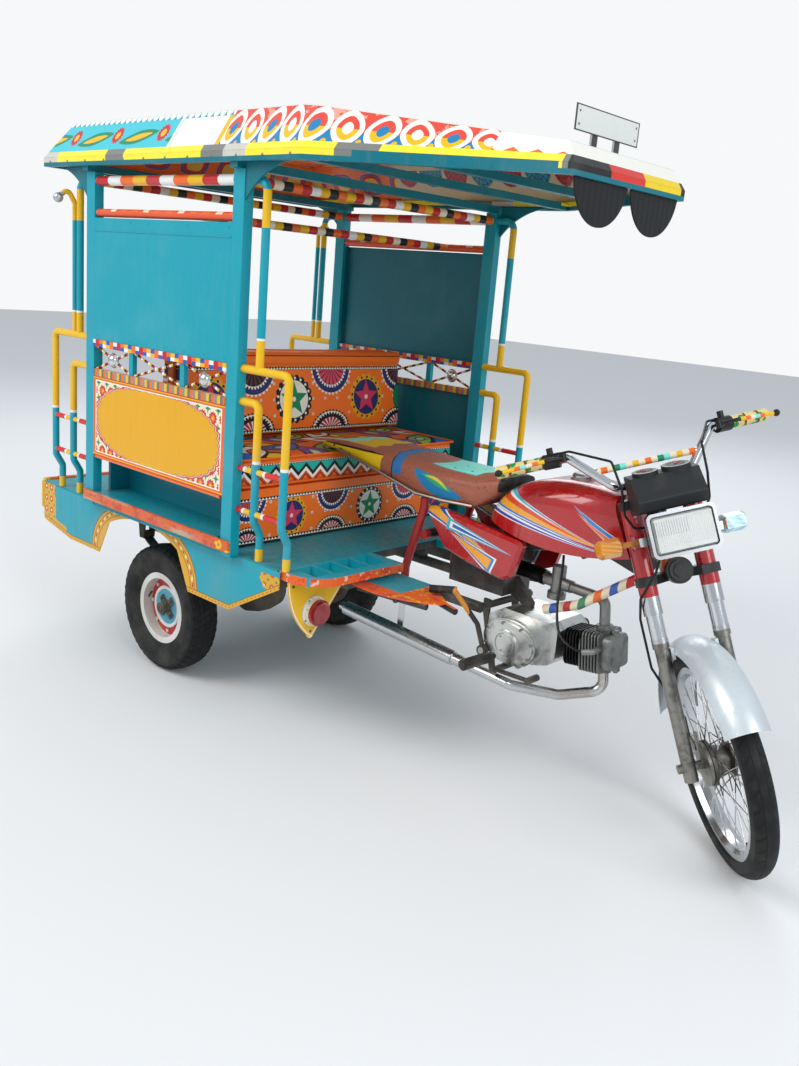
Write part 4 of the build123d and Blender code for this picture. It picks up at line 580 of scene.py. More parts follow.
def taped(paint, mask):
    """Long pieces of yellow and grey tape along the eave, and four colours across the nose."""
    x, y, _ = paint.axes
    paint.bands(x + 0.13, 0.92, EAVE_TAPE, mask)
    paint.lay(mask & (x > 0.618), *((y > from_y, colour) for from_y, colour in NOSE_TAPE))


taped(roof, (height < 0.0165) | ((x > 0.6215) & (height < 0.024)))
roof.put((share > LIP) & (x < 0.62), "D6DAD2")
print("roof painted outside")

# %% [markdown]
# Inside, half discs with a web of lines hang along the sides and rows of boxes fill the rear. The surface's own
# direction tells inside from outside, and says which way a row of boxes runs.

# %% Roof, inside
HANG, BOX_PITCH = 0.112, 0.15
normal_x, _, normal_z = roof.parts(roof.tree.nodes.new("ShaderNodeNewGeometry").outputs["Normal"])
faces_down, ceiling, rear_side = normal_z < -0.05, normal_z < -0.93, normal_x.size() > 0.4
roof.put(faces_down, "CDBB97")
hang_b = height - 0.094
disc_r, disc_turn = polar((x + 0.02).fold(HANG), hang_b)
discs = faces_down & ~ceiling & (disc_r < 0.051) & (hang_b < 0.0) & x.between(-0.62, 0.30)
web = ((disc_turn * 15.0).math("COSINE") > 0.86) | (disc_r.fold(0.0145).size() < 0.0009)
roof.lay(discs, (discs, "1E93B4"), ((x + 0.02 + HANG / 2).fold(HANG * 2) < 0.0, "C03038"), (web, "3A1C28"))
box_along = x * ~rear_side + y * rear_side
box_up = y.fold(BOX_PITCH) * ceiling + (height - 0.052) * ~ceiling
box = blob((box_along + 0.02).fold(BOX_PITCH), box_up, 0.055, 0.034, 3.0)
boxes = faces_down & (x < -0.64)
roof.lay(boxes, (boxes, ORANGE), (box < 1.0, "1E5FA0"), (box < 0.6, "C8262B"), (box < 0.2, "E7B43A"))
wear("roof_skin", aged(roof, 0.18, 0.4))
print("roof painted inside")

# %% Roof frame, flaps and blank plate
beams = Paint("roof_frame_paint", DEEP_TEAL)
x, y, z = beams.axes
taped(beams, z.between(1.5655, 1.5802))
beams.put((y.size() < 0.5) & x.between(-1.1, 0.6), DEEP_TEAL)
wear("roof_frame", aged(beams, 0.25, 0.6))
flap = Paint("flap_rubber", SOOT, rough=0.55)
flap.height = (flap.axes[1] * 260.0).math("SINE") * 0.4 + flap.noise(90.0)
wear("visor_flaps", flap.finish(0.0012))
plate = Paint("plate_paint", "DADDD8")
x, y, z = plate.axes
plate.put((y.size() > 0.1365) | ~z.near(0.0262, 1.697), "3A3C3E")
plate.put(x < 0.5399, "9EA1A1")
wear("number_plate", aged(plate, 0.25, 0.3))
print("roof frame painted and plate left blank")

# %% [markdown]
# The bench is covered in printed vinyl, in the bright manner of the country's painted trucks: orange, with star
# medallions in toothed rings, half rounds that hang from the top, mounds that stand on the bottom, and rows of teeth.
# Each is a stack of discs, or of half discs, round one centre that repeats along the bench.


# %% Vinyl print
VINYL_ORANGE, NAVY, SNOW, INK = "F97420", "2A2C66", "EFEBDD", "17161B"
GREEN_STAR = (INK, SNOW, SNOW, "0F8A55", SNOW)
RED_STAR = ("E9A914", INK, NAVY, "D4395C", "F0DCC0")
HANGING = ((0.90, SNOW), (0.94, NAVY), (0.64, SNOW), (0.66, INK))
HANGING_PINK = ((0.90, SNOW), (0.94, NAVY), (0.64, SNOW), (0.66, "DC4A62"))
MOUND = ((0.88, INK), (0.91, SNOW), (0.74, INK), (0.60, "B9384A"))
REPEAT = 0.66


def medallion(paint, along, up, radius, mask, colours):
    """A star on a disc in a toothed ring, round the place where both fields are 0."""
    ring, marks, ground, points, core = colours
    distance, angle = polar(along, up)
    spikes = (angle * 9.0).math("COSINE").size() * (radius * 0.14)
    pearl_r, gap_r = radius * 1.12, radius * 0.72
    pearls = disc((angle * pearl_r).fold(radius * 0.42), distance - pearl_r, radius * 0.075)
    between_arms = disc(((angle - pi / 10) * gap_r).fold(gap_r * tau / 5), distance - gap_r, radius * 0.15)
    paint.lay(mask, (distance - spikes < radius * 1.18, ring), (pearls, marks), (distance < radius, ground),
              (between_arms, marks), (star(along, up, radius * 0.98, radius * 0.42, 5, -pi / 10), points),
              (distance < radius * 0.13, core))


def half_round(paint, along, rise, radius, mask, layers, ribs):
    """Half discs, one in another, that stand on the line where rise is 0. The last has ribs."""
    distance, angle = polar(along, rise)
    teeth = (angle * 17.0).math("COSINE").size() * (radius * 0.13)
    for index, (share, colour) in enumerate(layers):
        edge = distance - teeth if index % 2 == 0 else distance
        paint.put(mask & (rise > 0.0) & (edge < radius * share), colour)
    rib = angle.fold(pi / 9).size() < 0.055
    paint.put(mask & (rise > 0.0) & (distance < radius * layers[-1][0]) & rib, ribs)


def printed(paint, along, low, high, radius, green_at, mask):
    """Medallions in a row, with hanging half rounds and mounds between, from one height to another."""
    z = paint.axes[2]
    middle, down, up = z - (low + high) / 2, z * -1 + high, z - low
    speck_r = polar((along - green_at - 0.0275).fold(0.055), middle.fold(0.05))[0]
    paint.lay(mask, (speck_r < 0.0045, SNOW), (speck_r < 0.0022, "2C8F8A"))
    for shift, colours in ((green_at, GREEN_STAR), (green_at + REPEAT / 2, RED_STAR)):
        medallion(paint, (along - shift).fold(REPEAT), middle, radius, mask, colours)
    for shift, hanging in ((green_at + REPEAT / 4, HANGING_PINK), (green_at - REPEAT / 4, HANGING)):
        step = (along - shift).fold(REPEAT)
        half_round(paint, step, down, radius * 1.5, mask, hanging, "7C1F3C")
        half_round(paint, step, up * 1.35, radius * 1.45, mask, MOUND, SNOW)
    for level, shift in ((high, 0.006), (low + 0.008, 0.0)):
        tooth, strip = (along + shift).fold(0.012).size(), z - level
        paint.lay(mask, (strip.between(-0.009, 0.001), INK),
                  (strip.between(-0.0075, -0.0005) & (strip + 0.0075 < tooth * 1.25), SNOW))


def vinyl(paint, bump=0.0012):
    """Soft sheen, fine grain and a little grime."""
    paint.stain("6B5236", 0.10, 7.0, 5, 0.5, 0.8)
    paint.height = paint.noise(420.0, 2) * 0.5 + paint.noise(40.0, 3)
    return paint.finish(bump, paint.noise(9.0) * 0.25 + 0.3)


BENCH_FACE_X, BOARD_TOP = -0.236, 0.679
bench = Paint("bench_print", VINYL_ORANGE, coat=0.15)
x, y, z = bench.axes
boards = z < BOARD_TOP
bench_face = (x > BENCH_FACE_X) & boards
printed(bench, y, 0.533, 0.664, 0.046, 0.07, bench_face)
bench.put(bench_face & (z < 0.5335), INK)
bench.put((x < BENCH_FACE_X) & boards, "0B8090")
bench.put(z > 0.69, "B8581C")
wear("bench_frames", vinyl(bench, 0.0006))
print("bench print made")

# %% [markdown]
# Cushions, backrests and the driver's saddle are stuffed. Each starts as a slightly smaller block, is rebuilt as an
# even mesh by voxels, and is blown up a little by the cloth solver. That pulls the sides in between the corners and
# crowns the top, as foam under a tight cover does.


# %% Stuffing
CLOTH_STEPS = 20


def from_bmesh(shape, name, material, body="vehicle", smooth=True, merge=0.00005):
    """Close a bmesh, turn its faces outwards and make it a piece that rides on a body."""
    bmesh.ops.remove_doubles(shape, verts=shape.verts, dist=merge)
    bmesh.ops.recalc_face_normals(shape, faces=shape.faces)
    mesh = bpy.data.meshes.new(name)
    shape.to_mesh(mesh)
    shape.free()
    mesh.materials.append(material)
    if smooth:
        for face in mesh.polygons:
            face.use_smooth = True
        mesh.set_sharp_from_angle(angle=radians(38))
    made = bpy.data.objects.new(name, mesh)
    bpy.context.collection.objects.link(made)
    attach(made, body)
    return made


def block(low, high, bevel):
    """A bmesh box between two corners with rounded edges."""
    shape = bmesh.new()
    low, high = Vector(low), Vector(high)
    place = Matrix.Translation((low + high) / 2) @ Matrix.Diagonal((*(high - low), 1))
    bmesh.ops.create_cube(shape, size=1, matrix=place)
    bmesh.ops.bevel(shape, geom=shape.edges[:], offset=bevel, segments=3, profile=0.5, affect="EDGES", material=-1)
    return shape


def stuff(made, voxel, pressure, cap):
    """Blow a piece up with the cloth solver, moving no point further than the cap."""
    bpy.context.view_layer.objects.active = made
    remesh = made.modifiers.new("even", "REMESH")
    remesh.mode, remesh.voxel_size = "VOXEL", voxel
    bpy.ops.object.modifier_apply(modifier=remesh.name)
    start = [v.co.copy() for v in made.data.vertices]
    cloth = made.modifiers.new("cloth", "CLOTH")
    cloth.settings.use_pressure = True
    cloth.settings.uniform_pressure_force = pressure
    cloth.settings.effector_weights.gravity = 0
    for step in range(1, CLOTH_STEPS + 1):
        scene.frame_set(step)
    bpy.ops.object.modifier_apply(modifier=cloth.name)
    for vertex, rest in zip(made.data.vertices, start):
        moved = vertex.co - rest
        if moved.length > cap:
            vertex.co = rest + moved.normalized() * cap
    scene.frame_set(1)
    shape = bmesh.new()
    shape.from_mesh(made.data)
    bmesh.ops.smooth_vert(shape, verts=shape.verts, factor=0.5, use_axis_x=True, use_axis_y=True, use_axis_z=True)
    shape.to_mesh(made.data)
    shape.free()
    for face in made.data.polygons:
        face.use_smooth = True
    return made


print("stuffing ready")

# %% [markdown]
# The two seat cushions lie back to back on the bench. Their tops are printed with long dark-edged leaves, and their
# front faces carry an orange band, teal, and two zigzags in black and white. The print follows height on the faces
# and X and Y on the top.

# %% Bench cushions
BENCH_FRONT, BENCH_REAR, BOARD = -0.210, -0.900, -0.567
BENCH_TOP, CUSHION_TOP, CUSHION_HALF, CUSHION_SHOULDER = 0.690, 0.785, 0.468, 0.774
LEAVES = ((0.30, 0.000, 0.000, "EAE3D2", "E4601C"), (-0.55, 0.085, 0.075, "7FA83C", "B9C8A0"),
          (0.95, 0.045, 0.160, "7D3E8E", "B9C8A0"), (-0.20, 0.125, 0.235, "2D5FA5", "B9C8A0"),
          (0.60, 0.015, 0.300, "E3B81E", "E4601C"), (-0.90, 0.100, 0.365, "EAE3D2", "E4601C"))
BAND_LOW, HEM_TOP = 0.7565, 0.7045
ZIGZAGS = ((0.7290, INK), (0.7165, SNOW), (HEM_TOP, "D2471E"), (0.6950, INK), (0.6915, VINYL_ORANGE))
cushion_print = Paint("cushion_print", "E4601C")
x, y, z = cushion_print.axes
top, face = z > CUSHION_SHOULDER, z < CUSHION_SHOULDER
from_board = (x - BOARD).size()
for turn, shift_x, shift_y, colour, vein in LEAVES:
    leaf_x, leaf_y = (from_board + shift_x).fold(0.190), (y + shift_y).fold(0.420)
    leaf_u, leaf_v = leaf_y * cos(turn) + leaf_x * sin(turn), leaf_x * cos(turn) - leaf_y * sin(turn)
    bent = (leaf_v + leaf_u.square() * 2.4).size()
    for grow, tone in ((1.0, INK), (0.80, colour), (0.42, INK), (0.30, vein)):
        cushion_print.put(top & ((leaf_u / (0.100 * grow)).square() + bent / (0.047 * grow) < 1.0), tone)
corner_r = polar(from_board - 0.345, y.size() - 0.468)[0]
cushion_print.lay(top, (corner_r < 0.085, INK), (corner_r < 0.079, "1F63B8"),
                  ((from_board > 0.338) | (y.size() > 0.452), VINYL_ORANGE))
along_face = y + x
zig = z + along_face.fold(0.058).size() * -0.95
cushion_print.lay(face, (face, VINYL_ORANGE), (z.between(BAND_LOW, 0.7625), INK),
                  (z.between(0.758, 0.7615) & (along_face.fold(0.010).size() < 0.0028), SNOW),
                  (z < BAND_LOW, "1BAE9C"), *((zig < below, colour) for below, colour in ZIGZAGS))
cushion_print.put(z < HEM_TOP, VINYL_ORANGE)
cushion_vinyl = vinyl(cushion_print)
for name, low_x, high_x in (("front", BOARD + 0.032, BENCH_FRONT - 0.004),
                            ("rear", BENCH_REAR + 0.004, BOARD - 0.007)):
    raw = block((low_x, -CUSHION_HALF + 0.004, BENCH_TOP + 0.002),
                (high_x, CUSHION_HALF - 0.004, CUSHION_TOP - 0.005), 0.018)
    cushion = stuff(from_bmesh(raw, "cushion_" + name, cushion_vinyl), 0.009, 3.0, 0.007)
    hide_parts("bench_cushions")
    print(cushion.name, len(cushion.data.polygons), "faces")

# %% [markdown]
# Piping hides the seams of a cushion's top and bottom. It is a round cord under the same vinyl, so thin tubes round
# the cushion are enough.


# %% Piping
def tube(points, radius, name, material, body="vehicle", closed=False, sides=8, curved=False):
    """A round tube along points, as a mesh, with straight runs or a smooth curve between them."""
    curve = bpy.data.curves.new(name, "CURVE")
    curve.dimensions = "3D"
    spline = curve.splines.new("NURBS" if curved else "POLY")
    spline.points.add(len(points) - 1)
    for item, place in zip(spline.points, points):
        item.co = (*place, 1)
    spline.use_cyclic_u = closed
    if curved:
        spline.order_u, spline.use_endpoint_u = 3, True
    curve.bevel_depth, curve.bevel_resolution, curve.use_fill_caps = radius, sides // 4 - 1, not closed
    holder = bpy.data.objects.new(name, curve)
    bpy.context.collection.objects.link(holder)
    mesh = bpy.data.meshes.new_from_object(holder.evaluated_get(bpy.context.evaluated_depsgraph_get()))
    bpy.data.objects.remove(holder)
    shape = bmesh.new()
    shape.from_mesh(mesh)
    return from_bmesh(shape, name, material, body)


def rounded(low, high, corner, steps=6):
    """Points round a rectangle in the XY plane with round corners."""
    points = []
    for index, (cx, cy) in enumerate(((high[0] - corner, high[1] - corner), (low[0] + corner, high[1] - corner),
                                      (low[0] + corner, low[1] + corner), (high[0] - corner, low[1] + corner))):
        for step in range(steps + 1):
            turn = (index + step / steps) * pi / 2
            points.append((cx + corner * cos(turn), cy + corner * sin(turn)))
    return points


SEAM_HALF = CUSHION_HALF - 0.003
piping_vinyl = vinyl(Paint("piping_vinyl", ORANGE), 0.0004)
for name, low_x, high_x in (("front", BOARD + 0.032, BENCH_FRONT - 0.003),
                            ("rear", BENCH_REAR + 0.003, BOARD - 0.007)):
    for place, level in (("top", CUSHION_TOP - 0.006), ("low", BENCH_TOP + 0.012)):
        seam = [(x, y, level) for x, y in rounded((low_x, -SEAM_HALF), (high_x, SEAM_HALF), 0.022)]
        tube(seam, 0.0035, "piping_" + name + "_" + place, piping_vinyl, closed=True)
print("piping sewn on")

# %% [markdown]
# Each backrest leans a little and ends in a fat roll. It carries the bench's print on a larger scale; the roll is
# plain orange with a thin dark line.

# %% Backrests
BACK_TOP, BACK_LOW = 1.060, 0.786
BACK_OUTLINE = ((0.003, BACK_LOW), (0.055, BACK_LOW + 0.006), (0.055, BACK_LOW + 0.058),
                (0.036, BACK_TOP - 0.050), (0.046, BACK_TOP - 0.034), (0.040, BACK_TOP - 0.008),
                (0.020, BACK_TOP - 0.002), (0.003, BACK_TOP - 0.006))
back_print = Paint("backrest_print", VINYL_ORANGE)
x, y, z = back_print.axes
printed(back_print, y, 0.800, 1.004, 0.060, -0.04, z < 1.006)
back_print.put(z.between(1.0385, 1.0415), "5C1A14")
patch_r = polar((y.size() - 0.452) * 1.9, z - 0.90)[0]
back_print.put(patch_r < 0.046, INK)
back_print.put(patch_r < 0.040, "0F8A55")
back_vinyl = vinyl(back_print)
for name, board_face, away in (("front", BOARD + 0.0256, 1), ("rear", BOARD - 0.0006, -1)):
    raw = bmesh.new()
    for end_y in (-SEAM_HALF, SEAM_HALF):
        raw.faces.new([raw.verts.new((board_face + away * x, end_y, z)) for x, z in BACK_OUTLINE])
    bmesh.ops.bridge_loops(raw, edges=[e for e in raw.edges if abs(e.verts[0].co.y - e.verts[1].co.y) < 0.001])
    back = stuff(from_bmesh(raw, "backrest_" + name, back_vinyl), 0.008, 3.0, 0.004)
    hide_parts("bench_backrests")
    print(back.name, len(back.data.polygons), "faces")

# %% [markdown]
# The motorcycle's tank and side covers are gloss red with pointed stripes that sweep back from the front. Each
# stripe is a wedge: the space between two straight lines that meet at its tip.


# %% Red bodywork
def pinstripes(paint, stripes):
    """Pointed stripes, each a list of wedges one in another, from a tip in X and Z."""
    x, _, z = paint.axes
    for (tip_x, tip_z), long, turn, layers in stripes:
        u = (x - tip_x) * cos(turn) + (z - tip_z) * sin(turn)
        v = (z - tip_z) * cos(turn) - (x - tip_x) * sin(turn)
        for shorter, wide, colour in layers:
            reach = long - shorter
            paint.put(u.between(0.0, reach) & (v.size() < u * (wide / reach)), colour)


TEAL, AMBER, AZURE, PALE, BIKE_RED = "2AA7B8", "F0A21A", "2C7FC8", "E4E8F0", "AE020C"
tank = Paint("tank_paint", BIKE_RED, coat=0.7)
pinstripes(tank, (
    ((0.770, 0.690), 0.41, 3.01, ((0.0, 0.017, PALE), (0.006, 0.013, "3A3FA8"), (0.020, 0.004, WHITE))),
    ((0.742, 0.703), 0.36, 2.93, ((0.0, 0.034, WHITE), (0.006, 0.030, AZURE), (0.014, 0.023, AMBER))),
    ((0.700, 0.712), 0.29, 2.90, ((0.0, 0.010, "D8431A"),)),
    ((0.560, 0.752), 0.17, 2.80, ((0.0, 0.012, TEAL),)),
    ((0.620, 0.735), 0.24, 2.86, ((0.0, 0.005, WHITE),)),
    ((0.648, 0.800), 0.155, -0.60, ((0.0, 0.015, WHITE), (0.006, 0.012, AZURE))),
    ((0.660, 0.782), 0.130, -0.56, ((0.0, 0.008, PALE), (0.006, 0.006, ORANGE)))))
x, y, z = tank.axes
cap_ring = disc(x - 0.60, y, 0.036) & (z > 0.8415)
tank.put(cap_ring, CHROME)
tank.metal_where(cap_ring)
wear("fuel_tank", aged(tank, 0.05, 0.1, 0.0002, gloss=(0.16, 0.34)))

cover = Paint("side_cover_paint", BIKE_RED, coat=0.7)
pinstripes(cover, (
    ((0.42, 0.606), 0.27, 2.75, ((0.0, 0.026, WHITE), (0.008, 0.021, BLUE), (0.018, 0.013, AMBER))),
    ((0.485, 0.628), 0.23, 2.97, ((0.0, 0.017, TEAL), (0.010, 0.010, WHITE), (0.020, 0.005, BLUE))),
    ((0.27, 0.645), 0.17, -0.38, ((0.0, 0.027, WHITE), (0.006, 0.022, AZURE), (0.014, 0.015, AMBER)))))
wear("side_covers", aged(cover, 0.08, 0.2, 0.0002, gloss=(0.16, 0.36)))
print("red bodywork painted")

# %% [markdown]
# Bare metal is a matter of roughness: chrome is smooth with faint smears and rust specks, cast aluminium is grainy
# and oily, and black paint on a frame is dusty.


# %% Metals
def metal(name, colour, rough, specks, grain):
    """Chrome, steel or cast alloy, with smears, specks of rust and a fine grain."""
    made = Paint(name, colour, metal=1.0)
    made.stain(RUST, specks, 130.0, 5, 0.70, 0.76, rough=0.7)
    made.stain(DUST, specks * 0.5, 11.0, 4, 0.5, 0.75)
    made.height = made.noise(300.0, 3)
    return made.finish(grain, made.noise(26.0, 4) * 0.12 + rough)


chrome = metal("chrome", "D2D4D6", 0.08, 0.25, 0.0001)
alloy = metal("cast_alloy", "A9AAA6", 0.36, 0.35, 0.0006)
black_paint = aged(Paint("black_paint", SOOT, coat=0.2), 0.5, 0.5, gloss=(0.3, 0.6))
wear("steering_yokes", black_paint)

casting = Paint("crankcase_alloy", "CFD0CC", metal=1.0)
# Dark blotches over the case, and the case grows darker towards the bottom.
casting.stain("3B352F", 0.6, 13.0, 6, 0.50, 0.66, rough=0.65)
casting.stain("2E2925", 0.5, 30.0, 4, 0.35, 0.6, where=casting.axes[2].soft(0.42, 0.33))
casting.height = casting.noise(320.0, 3)
wear("engine_crankcase", casting.finish(0.0004, casting.noise(24.0, 4) * 0.26 + 0.17))

fender = Paint("mudguard_paint", "D2DBE0", metal=0.35, coat=0.3)
x = fender.axes[0]
spots = fender.noise(110.0, 5, 0.7) + x.soft(1.24, 1.33) * 0.10
fender.put((spots > 0.735) & (x > 1.16), "6E5A4A")
wear("front_fender", aged(fender, 0.4, 0.7, 0.0003, gloss=(0.3, 0.5)))

cylinder = Paint("cylinder_finish", "8C8D8A", metal=0.8)
cylinder.put(cylinder.axes[0] < 0.684, "1C1D1E")
cylinder.stain("3F3A33", 0.5, 30.0, 5, 0.45, 0.7)
cylinder.height = cylinder.noise(260.0)
wear("engine_cylinder", cylinder.finish(0.0006, cylinder.noise(22.0) * 0.2 + 0.42))

carb = Paint("carburettor_finish", "8F908C", metal=0.85)
carb.put(carb.axes[0] < 0.523, "151617")
carb.stain("4A4238", 0.5, 40.0, 5, 0.5, 0.7)
wear("carburettor", carb.finish(0.0, carb.noise(22.0) * 0.2 + 0.4))

pipe = Paint("exhaust_finish", "C9CACB", metal=1.0)
pipe.stain("8A6A46", 0.45, 12.0, 5, 0.3, 0.6, where=pipe.axes[0].soft(0.50, 0.74))
pipe.stain(RUST, 0.4, 60.0, 6, 0.62, 0.74)
pipe.stain(DUST, 0.2, 8.0, 4, 0.5, 0.75)
pipe.height = pipe.noise(200.0)
wear("exhaust", pipe.finish(0.0003, pipe.noise(18.0) * 0.25 + 0.14))
print("metals done")

# %% Frame and foot controls
bike_frame = Paint("bike_frame_paint", SOOT, coat=0.3)
x, y, z = bike_frame.axes
bike_frame.put(y.size() > 0.09, "A01218")
stay = y.between(-0.075, -0.012) & (x > 0.54) & ((z - 0.578 - (x - 0.71) * 0.74).size() < 0.045)
bike_frame.bands(x, 0.16, [CREAM, GREEN, CREAM, ORANGE, CREAM, BLUE, CREAM, RED], stay)
wear("motorcycle_frame", aged(bike_frame, 0.35, 0.6))

controls = Paint("foot_control_paint", "1B1C1D")
x, y, z = controls.axes
controls.lay(y < -0.15, (x < 0.46, "D98A1C"), (x < 0.352, SOOT))
wear("foot_controls", aged(controls, 0.4, 0.8))
print("frame and controls painted")

# %% [markdown]
# The steering is turned to its right stop, so a pattern on it needs the steering's own axes: forward, across and up
# along the fork. Distances along them are sums of the surface point's coordinates.

# %% Steering axes
STEER_FOOT, WHEEL_CENTRE = Vector((1.1665, 0.0, -0.004268)), Vector((1.087141, -0.033852, 0.263141))
STEER_AHEAD, STEER_ACROSS = Vector((0.648459, -0.707107, 0.281958)), Vector((0.648459, 0.707107, 0.281958))
STEER_UP = Vector((-0.39875, 0.0, 0.91706))
SLIDER_TOP, HUB_RADIUS = 0.578, 0.080
FORK_AHEAD, FORK_HALF, SLEEVE_ENDS, CHROME_RING_TOP = 0.04787, 0.075, (0.588, 0.6455), 0.690


def along_axis(paint, axis, centre):
    """Distance along an axis from a centre."""
    x, y, z = paint.axes
    return (x - centre.x) * axis.x + (y - centre.y) * axis.y + (z - centre.z) * axis.z


def steered(paint):
    """A surface point's place on the steering: forward, across and up."""
    return [along_axis(paint, axis, STEER_FOOT) for axis in (STEER_AHEAD, STEER_ACROSS, STEER_UP)]


def on_steering(ahead_by, across_by, up_by):
    """A point of the steering as a place in the vehicle."""
    return STEER_FOOT + STEER_AHEAD * ahead_by + STEER_ACROSS * across_by + STEER_UP * up_by


sliders = Paint("fork_leg_finish", "C4C6C8", metal=1.0)
low_leg = steered(sliders)[2] < SLIDER_TOP
sliders.put(low_leg, "96938C")
sliders.stain("4A453E", 0.55, 32.0, 6, 0.44, 0.62, rough=0.7, where=low_leg)
sliders.stain(RUST, 0.4, 130.0, 5, 0.68, 0.74, rough=0.7)
sliders.height = sliders.noise(220.0, 3)
wear("fork_legs", sliders.finish(0.0005, low_leg * 0.22 + sliders.noise(26.0, 4) * 0.12 + 0.12))

rim = Paint("front_wheel_finish", "C6C8CA", metal=1.0)
hub = disc(along_axis(rim, STEER_AHEAD, WHEEL_CENTRE), along_axis(rim, STEER_UP, WHEEL_CENTRE), HUB_RADIUS)
rim.put(hub, "6F6C66")
rim.stain("38342F", 0.6, 40.0, 5, 0.45, 0.6, where=hub)
rim.stain("6A5C4C", 0.35, 60.0, 6, 0.56, 0.66, rough=0.7)
wear("front_wheel_rim", rim.finish(0.0, hub * 0.25 + rim.noise(26.0, 4) * 0.12 + 0.13))
print("steering axes set, fork and front wheel dirtied")

# %% [markdown]
# The bar's grips are cream rubber with green dots and brown bands. Lever blades, the bar's brace and the front
# engine stay are wound in tape of many colours; the levers end in black balls. The fork's covers are red down to a
# chrome ring, and a chrome tube fills the space from there to the slider.

# %% Bars, levers and cables
grip = Paint("grip_rubber", "E2CC8C", rough=0.6)
grip_dots = grip.cells(42.0)
grip.put(grip_dots < 0.36, "129140")
grip.put(steered(grip)[1].size().fold(0.040).size() < 0.0035, "7A4A22")
grip.stain(DUST, 0.3, 30.0, 3, 0.5, 0.8)
grip.height = grip_dots
wear("grips", grip.finish(0.0012))

BLADE_FROM, BLADE_TO = 0.245, 0.344
lever = Paint("lever_tape", "1A1A1B")
lever_ahead, lever_across, _ = steered(lever)
from_grip = lever_ahead + 0.013 + (lever_across.size() - 0.180) * 0.424
blade = (from_grip > 0.030) & lever_across.size().between(BLADE_FROM, BLADE_TO)
lever.bands(lever_across.size() - BLADE_FROM, BLADE_TO - BLADE_FROM,
            [YELLOW, ORANGE, CREAM, MINT, ORANGE, YELLOW, YELLOW], blade)
wear("control_levers", aged(lever, 0.1, 0.2))
wear("control_cables", Paint("cable_sleeve", "101112", rough=0.45).finish())

bar = Paint("bar_chrome", "D2D4D6")
bar_ahead, bar_across, bar_up = steered(bar)
brace = bar_up.near(0.0095, 1.009) & (bar_across.size() < 0.122) & (bar_ahead.size() < 0.022)
bar.bands(bar_across + 0.02, 0.11, [CREAM, ORANGE, CREAM, GREEN, MINT, CREAM, YELLOW], brace)
bar.metal_where(~brace)
bar.stain(RUST, 0.25, 130.0, 5, 0.70, 0.76, rough=0.7)
wear("handlebar", bar.finish(0.0, bar.noise(26.0, 4) * 0.12 + brace * 0.35 + 0.1))

fork_cover = Paint("fork_cover_paint", BIKE_RED, coat=0.7)
chrome_ring = steered(fork_cover)[2] < CHROME_RING_TOP
fork_cover.put(chrome_ring, "C4C6C8")
fork_cover.metal_where(chrome_ring)
wear("fork_covers", aged(fork_cover, 0.1, 0.3, 0.0002, gloss=(0.12, 0.30)))
for side, word in SIDES:
    ends = [on_steering(FORK_AHEAD, side * FORK_HALF, level) for level in SLEEVE_ENDS]
    tube(ends, 0.0195, "fork_sleeve_" + word, chrome, "steering", sides=32)
print("bars done")

# %% [markdown]
# Lamps. The headlight has a chrome shell and a ribbed glass. One signal is amber, and the other is wound in pale
# blue tape.

# %% Headlight and signals
wear("headlight_housing", metal("lamp_chrome", "A4A7A9", 0.2, 0.3, 0.0))
case = Paint("instrument_plastic", "222426")
case.stain(DUST, 0.2, 9.0, 4, 0.5, 0.8)
case.height = case.noise(380.0, 2)
wear("instrument_housing", case.finish(0.0006, case.noise(30.0) * 0.2 + 0.4))
lens = Paint("headlight_glass", "D3D8D4", rough=0.12, coat=1.0)
lens.shader.inputs["Transmission Weight"].default_value = 0.35
_, lens_across, lens_up = steered(lens)
lens.height = (lens_across * 1500.0).math("SINE") * (lens_up.between(0.800, 0.866) * 0.5 + 0.05)
ribbed = lens_up.between(0.826, 0.860) & (lens_across < 0.01)
lens.put(ribbed & ((lens_across * 1100.0).math("SINE") > 0.55), "9FA5A2")
lens.stain("A9AC9C", 0.4, 15.0, 4, 0.42, 0.72)
wear("headlight_lens", lens.finish(0.0006))
signal = Paint("signal_lens", "D98A10", rough=0.15, coat=1.0)
x, y, z = signal.axes
BLUE_TAPE = ["A9DCE6", "8CC8D6", "C9ECF0"]
signal.bands(y + z * 0.5, 0.026, BLUE_TAPE, y > 0.02)
signal.height = (z * 700.0).math("SINE") * 0.5
wear("turn_signals", signal.finish(0.0006))
print("lamps done")

# %% [markdown]
# The driver's saddle is lofted from cross-sections along its length, then stuffed. Its cover is brown dotted vinyl
# with shapes sewn on: mint and yellow at the back, a blue arch, a buttoned mint patch in front and a striped
# crescent on each flank.

# %% Driver's saddle
SADDLE_STATIONS = [(-0.274, 0.112, 0.793, 0.806), (-0.190, 0.118, 0.792, 0.817), (-0.080, 0.122, 0.772, 0.817),
                   (0.020, 0.124, 0.751, 0.812), (0.140, 0.124, 0.723, 0.806), (0.240, 0.122, 0.722, 0.806),
                   (0.330, 0.104, 0.723, 0.810), (0.372, 0.088, 0.756, 0.816), (0.404, 0.074, 0.796, 0.820)]


def saddle_ring(shape, x, half, low, high):
    """One cross-section: a flat base, sides that lean in, and a crowned top."""
    tall = high - low
    side = [(half - 0.004, low), (half, low + tall * 0.4), (half - 0.005, high - tall * 0.25),
            (half - 0.022, high - tall * 0.06), (half * 0.45, high)]
    return [shape.verts.new((x, y, z)) for y, z in side + [(-y, z) for y, z in side[::-1]]]


